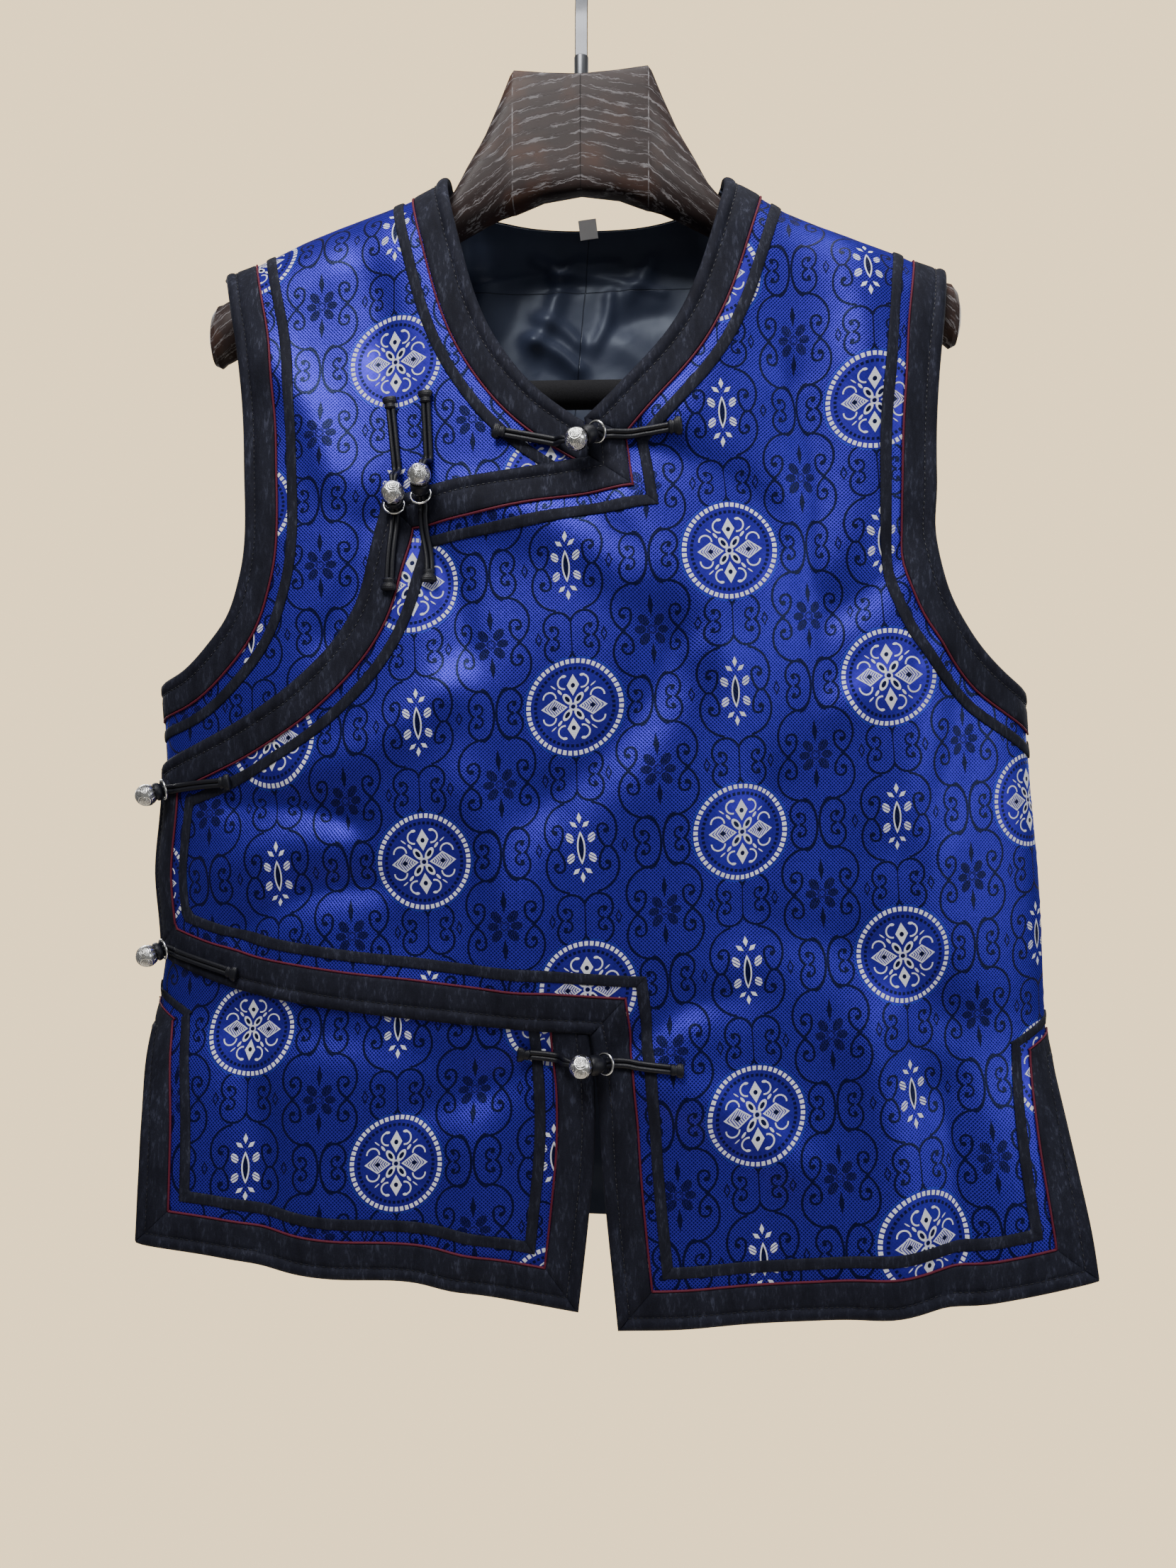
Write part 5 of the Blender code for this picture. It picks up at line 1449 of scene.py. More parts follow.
# %% Outlines of the fronts
HIDDEN_EDGE = (LAP_END, (UNDERLAP, 400), (UNDERLAP, 640), SLIT_END)

right_side_seam = even_line(side_edge(SLIT_RIGHT, PIT_RIGHT, 1))
right_shoulder_seam = even_line(shoulder_edge(TIP_RIGHT, NECK_RIGHT[0]))
left_side_seam = even_line(side_edge(PIT_LEFT, SLIT_LEFT, -1))
left_shoulder_seam = even_line(shoulder_edge(NECK_LEFT[0], TIP_LEFT))


def edge_row(chain):
    """A chain's cut edge, without the short steps of a gable."""
    skip_start = GABLE_STEPS if chain.gable_start is not None else 0
    skip_end = GABLE_STEPS if chain.gable_end is not None else 0
    row = chain.row(0.0)
    return row[skip_start : len(row) - skip_end]


def joined(*edges):
    """A closed outline from edges that follow each other."""
    return np.concatenate([edge[:-1] for edge in edges])


outer_outline = joined(
    edge_row(OUTER), right_side_seam, edge_row(OUTER_ARMHOLE)[::-1], right_shoulder_seam
)
inner_outline = joined(
    left_shoulder_seam,
    edge_row(INNER_ARMHOLE),
    left_side_seam,
    edge_row(INNER_LOWER),
    smooth_edge(*HIDDEN_EDGE, fine=FINE_STATION)[::-1],
    edge_row(INNER_NECK)[::-1],
)

# %% The two fronts
fronts = Sheet([outer_outline, inner_outline], False)
outer_front, *outer_cut = fronts.piece(
    "outer_front_cloth", outer_outline, OUTER_LAYER, PANEL_THICK, [brocade_outer, satin], "brocade"
)
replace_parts(outer_front, "outer_front")
inner_front, *inner_cut = fronts.piece(
    "inner_front_cloth", inner_outline, INNER_LAYER, PANEL_THICK, [brocade_inner, satin], "brocade"
)
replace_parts(inner_front, "inner_front")

# %% The back and its lining
FINER_NECK = np.array(((-95, 186), (95, 300)))

left_back_shoulder = even_line(shoulder_edge(TIP_LEFT, NECK_LEFT[0]))
right_back_shoulder = even_line(shoulder_edge(NECK_RIGHT[0], TIP_RIGHT))
right_back_seam = even_line(side_edge(PIT_RIGHT, SLIT_RIGHT, 1, True))
left_back_seam = even_line(side_edge(SLIT_LEFT, PIT_LEFT, -1, True))
back_outline = joined(
    left_back_shoulder,
    edge_row(BACK_NECK),
    right_back_shoulder,
    edge_row(RIGHT_ARMHOLE),
    right_back_seam,
    edge_row(BACK_LOWER)[::-1],
    left_back_seam,
    edge_row(LEFT_ARMHOLE)[::-1],
)
backs = Sheet([back_outline], True, FINER_NECK)
back_cloth, *back_cut = backs.piece(
    "back_cloth", back_outline, BACK_LAYER, PANEL_THICK, [brocade_back, satin], "brocade"
)
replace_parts(back_cloth, "back")
lining_finish = [satin_seamed, satin_seamed]
lining_cloth, *lining_cut = backs.piece(
    "back_lining_cloth", back_outline, LINING_LAYER, LINING_THICK, lining_finish, "lining"
)
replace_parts(lining_cloth, "back_lining")

# %% [markdown]
# ## The seams
#
# The fronts join the back at the sides, down to the slits, and along the shoulders. The seam
# allowance is pressed inside, and from outside a seam is a narrow groove. A thin strip set
# into both walls closes the groove, as the sewn allowance does.

# %% Closed skins
def round_angles(count):
    return np.arange(count) * 2 * pi / count


def skin(rows, sides):
    """Faces that join the rings of a closed tube, with a cap at each end."""
    faces = []
    for i in range(rows - 1):
        for k in range(sides):
            a, b = i * sides + k, i * sides + (k + 1) % sides
            faces.append((a, a + sides, b + sides, b))
    last = (rows - 1) * sides
    return faces + [tuple(range(sides)), tuple(last + k for k in reversed(range(sides)))]


def face_outward(mesh):
    """Turns the faces of closed bodies to the outside."""
    body = bmesh.new()
    body.from_mesh(mesh)
    bmesh.ops.recalc_face_normals(body, faces=body.faces)
    body.to_mesh(mesh)
    body.free()

# %% Closing the side and shoulder seams
SEAM_GRIP = 1.1
SEAM_WALL = 0.34
WIDEST_GROOVE = 2.6
UNDER_BINDING = 22.0


def join_seam(name, front_seam, back_seam, front_layer, inward, finish):
    """A thin strip from one wall to the other along a seam."""
    back_seam = back_seam[::-1]
    at = np.linspace(0, measured(back_seam)[-1], len(front_seam))
    other = points_along(back_seam, at)
    apart = cloth_at(*front_seam.T, np.zeros(len(at))) - cloth_at(*other.T, np.zeros(len(at)), True)
    keep = np.linalg.norm(apart, axis=1) < WIDEST_GROOVE
    front_seam, other = front_seam[keep], other[keep]
    count = len(front_seam)
    run = measured(front_seam)
    at_start, at_end = run < UNDER_BINDING, run > run[-1] - UNDER_BINDING
    if name.startswith("seam_shoulder"):
        bound = at_start | at_end
    else:
        bound = at_start if name.endswith("left") else at_end
    columns = []
    for lift in (SEAM_WALL, -SEAM_WALL):
        round_seam = []
        for row, layer, back in ((front_seam, front_layer, False), (other, BACK_LAYER, True)):
            middle = np.full(count, layer + PANEL_THICK / 2 + lift)
            pair = [
                hang(np.column_stack([row + np.array(inward) * SEAM_GRIP * k, middle]), back)
                for k in (1, 0)
            ]
            round_seam += pair[::-1] if back else pair
        columns += round_seam if lift > 0 else round_seam[::-1]
    wide = len(columns)
    mesh = new_mesh(name, np.stack(columns, axis=1).reshape(-1, 3), skin(count, wide))
    cloth_map(mesh, np.repeat(front_seam, wide, axis=0))
    face_outward(mesh)
    add_piece(name, mesh, [finish, suede])
    inside_binding = np.append(np.repeat(bound[:-1], wide), [bound[0], bound[-1]])
    mesh.polygons.foreach_set("material_index", inside_binding.astype(int).tolist())


join_seam("seam_side_right", right_side_seam, right_back_seam, OUTER_LAYER, (-1, 0), brocade_outer)
join_seam("seam_side_left", left_side_seam, left_back_seam, INNER_LAYER, (1, 0), brocade_inner)
join_seam(
    "seam_shoulder_left", left_shoulder_seam, left_back_shoulder, INNER_LAYER, (0, 1), brocade_inner
)
join_seam(
    "seam_shoulder_right",
    right_shoulder_seam,
    right_back_shoulder,
    OUTER_LAYER,
    (0, 1),
    brocade_outer,
)
print("four seams closed")

# %% [markdown]
# ## Borders, bands and piping
#
# Every edge is bound with a black suede-like strip. A rounded roll turns round the raw edge
# and is held by a line of stitches, and beside it lies a flat strip with a dark red piping.
# After a gap of blue comes a narrow raised band. Each strip is one profile swept along the
# chain of edges, drawn flat and then hung, so its mitres and its lie on the cloth come free.
#
# A profile is a closed loop of inset from the cut edge and height above the panel.

# %% The strips' profiles
Point = namedtuple("Point", "inset height")
BORDER_PROFILE = table(
    Point,
    (21.0, 0.05), (21.0, 0.70), (20.4, 1.12), (18.5, 1.28), (14.0, 1.30), (10.0, 1.28),
    (8.5, 1.12), (7.7, 0.72), (7.1, 0.60), (6.5, 0.86), (5.6, 1.50), (4.3, 1.92), (2.8, 1.95),
    (1.4, 1.62), (0.4, 0.95), (-0.3, 0.10), (-0.5, -0.70), (-0.35, -1.30), (-0.05, -1.45),
    (-0.05, 0.05),
)
BAND_PROFILE = table(
    Point,
    (35.0, 0.05), (35.0, 0.55), (34.5, 0.90), (33.2, 1.05), (31.7, 1.10), (30.3, 1.05),
    (29.0, 0.90), (28.5, 0.55), (28.5, 0.05),
)
PIPING_RADIUS = 0.68
PIPING_INSET = 21.85
PIPING_HEIGHT = 0.70
PIPING_PROFILE = tuple(
    Point(PIPING_INSET + PIPING_RADIUS * cos(a), PIPING_HEIGHT + PIPING_RADIUS * sin(a))
    for a in round_angles(8)
)
MITRE_SINK = 0.55
SUEDE_WAVE = 0.10

# %% Sweeping a profile along a chain
Cut = namedtuple("Cut", "across down toward_across toward_down")


def strip(name, trim, profile, finish):
    """One strip of trim along a chain, cut off where another piece laps over it."""
    flat = []
    for p in profile:
        row = trim.chain.row(p.inset)
        height = np.full(len(row), p.height)
        if p.height > 0.3:
            run = measured(row)
            height += SUEDE_WAVE * np.sin(run / 9 + p.inset / 5) * np.sin(run / 23)
            height[trim.chain.corners()] *= MITRE_SINK
        flat.append(np.column_stack([row, trim.layer + PANEL_THICK + height]))
    body = bmesh.new()
    verts = [[body.verts.new(p) for p in row.tolist()] for row in flat]
    for near, far in zip(verts, verts[1:] + verts[:1]):
        for i in range(len(near) - 1):
            body.faces.new((near[i], near[i + 1], far[i + 1], far[i]))
    body.faces.new([row[0] for row in verts])
    body.faces.new([row[-1] for row in reversed(verts)])
    for c in trim.cuts:
        found = bmesh.ops.bisect_plane(
            body,
            geom=body.verts[:] + body.edges[:] + body.faces[:],
            plane_co=(c.across, c.down, 0),
            plane_no=(c.toward_across, c.toward_down, 0),
            clear_outer=True,
        )
        edges = [e for e in found["geom_cut"] if isinstance(e, bmesh.types.BMEdge)]
        bmesh.ops.holes_fill(body, edges=edges)
    bmesh.ops.triangulate(body, faces=[f for f in body.faces if len(f.verts) > 4])
    bmesh.ops.recalc_face_normals(body, faces=body.faces)
    mesh = bpy.data.meshes.new(name)
    body.to_mesh(mesh)
    body.free()
    return hang_mesh(name, mesh, finish, trim.back)


def points_of(mesh):
    """A mesh's points as rows."""
    points = np.empty(len(mesh.vertices) * 3, np.float32)
    mesh.vertices.foreach_get("co", points)
    return points.reshape(-1, 3).astype(float)


def move_points(mesh, points):
    mesh.vertices.foreach_set("co", points.astype(np.float32).ravel())
    mesh.update()


def hang_mesh(name, mesh, finish, back):
    """Hangs a mesh that was drawn flat."""
    flat = points_of(mesh)
    cloth_map(mesh, flat[:, :2])
    if not back:
        mesh.flip_normals()
    move_points(mesh, hang(flat, back))
    obj = add_piece(name, mesh, [finish])
    mark_sharp(mesh, 60)
    return obj

# %% Stitches
STITCH_INSET = 7.15
STITCH_HEIGHT = 0.72
STITCH_PITCH = 3.3
STITCH_LENGTH = 2.3
STITCH_RADIUS = 0.26
STITCH_SIDES = 5
# Along, width and lift of the rings of one stitch, as shares of its length and radius.
STITCH_SHAPE = ((-0.5, 0.35, -0.25), (-0.32, 1.0, 0.10), (0.32, 1.0, 0.10), (0.5, 0.35, -0.25))


def stitch_line(name, row, layer, back, cuts):
    """A line of small thread stitches along a row, as one mesh."""
    at = np.arange(STITCH_PITCH, measured(row)[-1] - STITCH_PITCH / 2, STITCH_PITCH)
    spot = points_along(row, at)
    ahead = points_along(row, at + 1) - spot
    ahead /= np.maximum(np.hypot(*ahead.T), 1e-6)[:, None]
    keep = np.ones(len(at), bool)
    for c in cuts:
        keep &= (spot - (c.across, c.down)) @ (c.toward_across, c.toward_down) < -0.5
    spot, ahead = spot[keep], ahead[keep]
    side = np.stack([-ahead[:, 1], ahead[:, 0]], axis=1)
    points = []
    for along, wide, lift in STITCH_SHAPE:
        for a in round_angles(STITCH_SIDES):
            here = spot + ahead * along * STITCH_LENGTH + side * (STITCH_RADIUS * wide * cos(a))
            out = layer + PANEL_THICK + STITCH_HEIGHT + lift + STITCH_RADIUS * wide * sin(a)
            points.append(np.column_stack([here, np.full(len(here), out)]))
    points = np.array(points).transpose(1, 0, 2)
    count, each = points.shape[:2]
    one = skin(len(STITCH_SHAPE), STITCH_SIDES)
    every = [tuple(v + s * each for v in face) for s in range(count) for face in one]
    mesh = new_mesh(name, points.reshape(-1, 3), every)
    return hang_mesh(name, mesh, thread, back)

# %% All the trim
Trim = namedtuple("Trim", "name chain layer back cuts")
NECK_CUTS = (
    Cut(LAP_CORNER[0] - 0.6, LAP_CORNER[1], 23.0, -3.0),
    Cut(LAP_INNER_CORNER[0], LAP_INNER_CORNER[1] - 0.6, 13.0, 90.0),
)
WAIST_CUTS = (Cut(9.0, 697.2, 3.5, -69.0),)
TRIMS = table(
    Trim,
    ("outer_front", OUTER, OUTER_LAYER, False, ()),
    ("right_armhole_front", OUTER_ARMHOLE, OUTER_LAYER, False, ()),
    ("inner_neck", INNER_NECK, INNER_LAYER, False, NECK_CUTS),
    ("left_armhole_front", INNER_ARMHOLE, INNER_LAYER, False, ()),
    ("inner_lower", INNER_LOWER, INNER_LAYER, False, WAIST_CUTS),
    ("back_neck", BACK_NECK, BACK_LAYER, True, ()),
    ("left_armhole_back", LEFT_ARMHOLE, BACK_LAYER, True, ()),
    ("right_armhole_back", RIGHT_ARMHOLE, BACK_LAYER, True, ()),
    ("back_lower", BACK_LOWER, BACK_LAYER, True, ()),
)
trim_on = {}
for t in TRIMS:
    border = strip("binding_" + t.name, t, BORDER_PROFILE, suede)
    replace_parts(border, "border_" + t.name)
    band = strip("strip_" + t.name, t, BAND_PROFILE, suede)
    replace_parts(band, "band_" + t.name)
    piping = strip("piping_" + t.name, t, PIPING_PROFILE, piping_red)
    row = t.chain.row(STITCH_INSET)
    stitches = stitch_line("stitches_" + t.name, row, t.layer, t.back, t.cuts)
    trim_on[t.name] = [border, band, piping, stitches]
    print(t.name, "trim along", round(measured(t.chain.row(0.0))[-1]), "mm of edge")

# %% [markdown]
# ## Cords, loops and silver balls
#
# Each closure is a silver ball on a satin cord, held by a loop whose collar passes through a
# silver ring. The cords are two strands laid side by side and sewn down, and each ends in a
# knot wrapped with thread. The balls are engraved with scrolls. The relief is modelled in the
# mesh, because the light on a polished ball shows every groove.

# %% The closures' places
# Each closure in cloth coordinates: the centres of its silver ball and ring with their
# distances from the base surface, the lean of the ring's axis from the cloth, the wrapped
# end of its loop and of the ball's cord, and the height of the cloth below each cord.
Closure = namedtuple(
    "Closure",
    "name ball_across ball_down ball_out ring_across ring_down ring_out ring_rise"
    " loop_across loop_down loop_bed cord_across cord_down cord_bed",
)
CLOSURES = table(
    Closure,
    ("neck", 1.1, 355, 17.1, 11.1, 348.6, 10.6, 46, 58.2, 343.5, 5.7, -45.4, 345.1, 3.9),
    ("chest_left", -106.4, 378.1, 18.7, -109.2, 385.6, 9.7, 60, -110.5, 434.9, 5.7, -112.1, 323.9, 2.2),
    ("chest_right", -87.6, 372.9, 18.7, -89.3, 381.3, 9.7, 60, -89.1, 430.6, 5.7, -89.8, 321.4, 2.2),
    ("waist", 4.0, 712.7, 17.1, 16.2, 713.9, 10.6, 46, 58.4, 717.2, 5.7, -31.4, 708.5, 3.9),
    ("side_upper", -265.5, 559.5, 18.2, -262, 555.7, 9.4, 68, -216.8, 550.3, 5.7, -236, 560, 3.1),
    ("side_lower", -264.5, 659.5, 18.3, -262, 655.4, 9.4, 72, -210.1, 667, 5.7, -236, 662, 3.1),
)
BALL_RADIUS = 6.85
RING_RADIUS = 6.0
RING_WIRE_RADIUS = 0.75
STRAND_RADIUS = 1.5
CUP_CLEARANCE = 0.3

# %% Closed pieces in space
def unit(vector):
    return vector / np.linalg.norm(vector)


def faced(points, axis):
    """Points drawn round an upright pole, turned until the pole lies along the axis."""
    return points @ np.array(Vector(axis).to_track_quat("Z", "Y").to_matrix()).T


def smooth_path(points, step):
    """Stations at even steps along a smooth curve through points in space."""
    points = np.array(points, float)
    run = measured(points)
    at = np.linspace(0, run[-1], max(3, round(run[-1] / step)) + 1)
    return np.stack([smooth_lookup(at, run, side) for side in points.T], axis=1)


def closed_piece(name, parts, finish, crisp=55):
    """One piece from several closed bodies, given as points in millimetres and faces."""
    faces, start = [], 0
    for some, these in parts:
        faces += [tuple(v + start for v in face) for face in these]
        start += len(some)
    mesh = new_mesh(name, np.concatenate([some for some, _ in parts]) * MM, faces)
    face_outward(mesh)
    obj = add_piece(name, mesh, [finish])
    mark_sharp(mesh, crisp)
    return obj

# %% The engraved ball
SPIRAL_TURNS = 1.6
ENGRAVE_DEPTH = 0.34
SCROLLS_ROUND = 5
SCROLL_TILT = 1.18
LEAVES_ROUND = 10


def near(value, half, soft):
    """1 where a value is nearer to 0 than half, falling to 0 at the borders."""
    return np.clip((half - np.abs(value)) / soft, 0, 1)


def scroll_relief(direction):
    """How deep the engraving is at each direction from the ball's centre, from 0 to 1."""
    x, y, z = direction.T
    turn = np.arctan2(y, x)
    tilt = np.arccos(np.clip(z, -1, 1))
    sector = (turn * SCROLLS_ROUND / (2 * pi)) % 1 - 0.5
    px = sector * 2 * pi / SCROLLS_ROUND * np.sin(np.clip(tilt, 0.3, 2.9))
    py = tilt - SCROLL_TILT
    radius = np.hypot(px, py)
    curl = (radius * 9.5 - np.arctan2(py, px) / (2 * pi) * 2.0 * SPIRAL_TURNS) % 1
    scroll = near(curl - 0.5, 0.30, 0.10) * (radius < 0.46)
    swirl = (tilt * 5.0 - turn / (2 * pi) * 3) % 1
    swirl = near(swirl - 0.5, 0.26, 0.12) * (tilt < 0.52)
    low_leaf = (turn * LEAVES_ROUND / (2 * pi)) % 1 - 0.5
    leaf = near(low_leaf, 0.34, 0.08) * (np.abs(tilt - 2.2) < 0.27)
    bands = near(radius - 0.50, 0.035, 0.02) + near(tilt - 1.86, 0.04, 0.02)
    bands += near(tilt - 0.56, 0.03, 0.02)
    return np.clip(scroll + bands + swirl + leaf, 0, 1)


def mark_grooves(mesh, depth):
    """Writes the engraving's depth on the mesh, for the silver to tarnish there."""
    mesh.attributes.new("groove", "FLOAT", "POINT").data.foreach_set("value", depth)


def silver_ball(name, centre, axis):
    """A ball with engraved scrolls, whose pole lies along the given axis."""
    body = bmesh.new()
    bmesh.ops.create_icosphere(body, subdivisions=6, radius=1.0)
    mesh = bpy.data.meshes.new(name)
    body.to_mesh(mesh)
    body.free()
    direction = points_of(mesh)
    depth = scroll_relief(direction)
    engraved = direction * (BALL_RADIUS - ENGRAVE_DEPTH * depth)[:, None]
    move_points(mesh, (centre + faced(engraved, axis)) * MM)
    mark_grooves(mesh, depth.astype(np.float32))
    return add_piece(name, mesh, [silver])

# %% The ring
RING_STEPS = 56
WIRE_STEPS = 12


def silver_ring(name, centre, axis):
    a = np.repeat(round_angles(RING_STEPS), WIRE_STEPS)
    b = np.tile(round_angles(WIRE_STEPS), RING_STEPS)
    reach = RING_RADIUS + RING_WIRE_RADIUS * np.cos(b)
    ring = np.stack([reach * np.cos(a), reach * np.sin(a), RING_WIRE_RADIUS * np.sin(b)], axis=1)
    faces = []
    for i in range(0, len(ring), WIRE_STEPS):
        j = (i + WIRE_STEPS) % len(ring)
        for k in range(WIRE_STEPS):
            after = (k + 1) % WIRE_STEPS
            faces.append((i + k, j + k, j + after, i + after))
    obj = closed_piece(name, [(centre + faced(ring, axis), faces)], silver)
    mark_grooves(obj.data, [0.0] * len(ring))
    return obj

# %% The wrapped knot at a cord's end
Wrap = namedtuple("Wrap", "along half_width half_height")
KNOT = table(
    Wrap,
    (-3.5, 2.6, 0.7), (-3.1, 3.8, 1.6), (-2.0, 4.4, 2.15), (-0.6, 4.3, 2.2), (0.5, 3.7, 1.9),
    (1.1, 3.0, 1.7), (2.2, 3.2, 1.9), (3.7, 3.0, 1.7), (4.2, 2.3, 1.1),
)
THREAD_TURNS = 9
THREAD_RIDGE = 0.16
KNOT_STEPS = 44
KNOT_SIDES = 18
KNOT_RISE = 2.25


def knot_body(start, ahead, bed, back):
    """The knot, wrapped round with thread, whose turns show as fine ridges."""
    spots = values_of(KNOT, "along")
    along = np.linspace(spots[0], spots[-1], KNOT_STEPS)
    wide = smooth_lookup(along, spots, values_of(KNOT, "half_width"))
    high = smooth_lookup(along, spots, values_of(KNOT, "half_height"))
    ridge = THREAD_RIDGE * np.abs(np.sin(np.arange(KNOT_STEPS) / KNOT_STEPS * THREAD_TURNS * pi))
    side = np.array([-ahead[1], ahead[0]])
    points = []
    for i in range(KNOT_STEPS):
        for a in round_angles(KNOT_SIDES):
            here = start + ahead * along[i] + side * cos(a) * (wide[i] + ridge[i])
            points.append((*here, bed + KNOT_RISE + sin(a) * (high[i] + ridge[i])))
    return hang(points, back) / MM, skin(KNOT_STEPS, KNOT_SIDES)

# %% The cords
STRAND_SIDES = 12
CORD_STEP = 4.0
STRAND_STEP = 1.2


def cord_route(start, end, bed, back):
    """Points over the cloth for a cord that lies flat on it, and the cloth's normals there."""
    run = end - start
    count = max(2, round(np.hypot(*run) / CORD_STEP))
    flat = start + np.outer(np.linspace(0, 1, count + 1), run)
    out = np.full(len(flat), bed + STRAND_RADIUS)
    return list(cloth_at(*flat.T, out, back)), list(cloth_normal(*flat.T, back))


def tube(path, ups, radii):
    """A closed tube along a path in millimetres."""
    points = []
    for centre, tangent, up, radius in zip(path, np.gradient(path, axis=0), ups, radii):
        ahead = unit(tangent)
        up = unit(up - ahead * (up @ ahead))
        side = np.cross(ahead, up)
        for a in round_angles(STRAND_SIDES):
            points.append(centre + (side * cos(a) + up * sin(a)) * radius)
    return np.array(points), skin(len(path), STRAND_SIDES)


def drawn_in(count, size, steps, start, end):
    """The same size at every station but the last ones, where it changes evenly."""
    sizes = np.full(count, size)
    sizes[-steps:] = np.linspace(start, end, steps)
    return sizes


def two_strands(points, ups, steps, last_shift, last_radius):
    """Two strands side by side through some points, drawn together at the end."""
    path = smooth_path(points, STRAND_STEP)
    run = measured(np.array(points))
    at = np.linspace(0, run[-1], len(path))
    ups = np.stack([np.interp(at, run, side) for side in np.array(ups).T], axis=1)
    shifts = drawn_in(len(path), STRAND_RADIUS * 0.98, steps, STRAND_RADIUS * 0.95, last_shift)
    radii = drawn_in(len(path), STRAND_RADIUS, 6, STRAND_RADIUS, last_radius)
    tangents = np.array([unit(t) for t in np.gradient(path, axis=0)])
    sides = [np.cross(t, unit(up - t * (up @ t))) for t, up in zip(tangents, ups)]
    return [tube(path + sides * (hand * shifts)[:, None], ups, radii) for hand in (-1, 1)]

# %% The collar
# Distance from the ring towards the ball as a share of the way to the ball's cup, and radius.
Collar = namedtuple("Collar", "share radius")
COLLAR = table(
    Collar,
    (-0.05, 1.2), (0.04, 2.6), (0.16, 3.9), (0.32, 5.0), (0.52, 5.6), (0.78, 5.75),
    (0.94, 5.45), (1.00, 5.0),
)
CUP_STEPS = (4.2, 3.0, 1.6, 0.4)
COLLAR_SIDES = 28
FLUTE_DEPTH = 0.018


def barrel_collar(ring, axis, reach):
    """The padded collar that the ball sits on, with its cup hollowed for the ball."""
    cup = BALL_RADIUS + CUP_CLEARANCE
    lip = reach - np.sqrt(cup**2 - COLLAR[-1].radius ** 2)
    share = np.linspace(COLLAR[0].share, 1.0, 22)
    radius = smooth_lookup(share, values_of(COLLAR, "share"), values_of(COLLAR, "radius"))
    rows = list(zip(share * lip, radius)) + [(reach - np.sqrt(cup**2 - r**2), r) for r in CUP_STEPS]
    angles = round_angles(COLLAR_SIDES)
    flutes = 1 + FLUTE_DEPTH * np.cos(angles * COLLAR_SIDES / 2)
    points = []
    for along, r in rows:
        edge = r * flutes
        height = np.full(COLLAR_SIDES, along)
        points.append(np.stack([edge * np.cos(angles), edge * np.sin(angles), height], axis=1))
    return ring + faced(np.concatenate(points), axis), skin(len(rows), COLLAR_SIDES)

# %% One closure
LOOP_SINK = 0.55
BALL_CORD_SINK = 0.4
KNOT_OVERLAP = 2.0
# Where the loop leaves the cloth before the ring: distances from the ring and heights.
LOOP_GAP = 8.5
LOOP_RISE = ((6.6, 0.9), (4.0, 1.2))
BALL_GAP = 14.0
# A side closure's cord turns round the side seam from the back.
SIDE_TURN = -256.0
SIDE_BEND = (-274.0, 10.0)


def fasten_loop(c, ball, ring, normal):
    """The loop that lies on the cloth, passes through the ring and holds the ball's collar."""
    towards = ball - ring
    axis = unit(towards)
    rise = radians(c.ring_rise)
    lean = unit(towards - normal * (towards @ normal)) * cos(rise) + normal * sin(rise)
    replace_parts(silver_ball("silver_ball_" + c.name, ball, axis), "ball_" + c.name)
    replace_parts(silver_ring("silver_ring_" + c.name, ring, lean), "ring_" + c.name)
    ring_flat = np.array([c.ring_across, c.ring_down], float)
    knot = np.array([c.loop_across, c.loop_down], float)
    ahead = unit(ring_flat - knot)
    bed = c.loop_bed - LOOP_SINK
    start, stop = knot + ahead * KNOT_OVERLAP, ring_flat - ahead * LOOP_GAP
    points, ups = cord_route(start, stop, bed, False)
    for gap, lift in LOOP_RISE:
        spot = ring_flat - ahead * gap
        points.append(cloth_at(*spot, bed + lift))
        ups.append(cloth_normal(*spot))
    points += [ring - lean * 1.2, ring + axis * 1.2]
    ups += [normal, normal - axis * 0.3]
    parts = two_strands(points, ups, 5, 0.9, 1.15)
    parts.append(knot_body(knot, ahead, bed, False))
    parts.append(barrel_collar(ring, axis, np.linalg.norm(towards)))
    loop = closed_piece("cord_loop_" + c.name, parts, cord_black)
    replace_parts(loop, "loop_" + c.name)


def fasten_ball(c, ball):
    """The cord that is sewn to the cloth and holds the ball. At the side it starts on the back."""
    on_back = c.name.startswith("side")
    cord_end = np.array([c.cord_across, c.cord_down], float)
    bed = c.cord_bed - BALL_CORD_SINK
    if on_back:
        edge = np.array([SIDE_TURN, c.ball_down])
        ahead = unit(edge - cord_end)
        points, ups = cord_route(cord_end + ahead * KNOT_OVERLAP, edge, bed, True)
        way_in = unit(np.array([0.05, 1.0, 0.0]))
        points += [np.array([*SIDE_BEND, -c.ball_down]), ball + way_in * (BALL_RADIUS + 5.5)]
        ups += [np.array([-1.0, 0.5, 0.0])] + [np.array([-1.0, 0.1, 0.0])] * 2
    else:
        ball_flat = np.array([c.ball_across, c.ball_down], float)
        ahead = unit(ball_flat - cord_end)
        start, stop = cord_end + ahead * KNOT_OVERLAP, ball_flat - ahead * BALL_GAP
        points, ups = cord_route(start, stop, bed, False)
        here = cloth_normal(*ball_flat)
        back_along = unit(points[-1] - ball - here * ((points[-1] - ball) @ here))
        way_in = unit(back_along - here * 0.75)
        points.append(ball + way_in * (BALL_RADIUS + 3.4) + back_along * 1.0)
        ups += [here, here + back_along]
    points.append(ball + way_in * (BALL_RADIUS + 0.2))
    parts = two_strands(points, ups, 6, 0.75, 1.0)
    parts.append(knot_body(cord_end, ahead, bed, on_back))
    held = closed_piece("cord_ball_" + c.name, parts, cord_black)
    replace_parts(held, "cord_" + c.name)


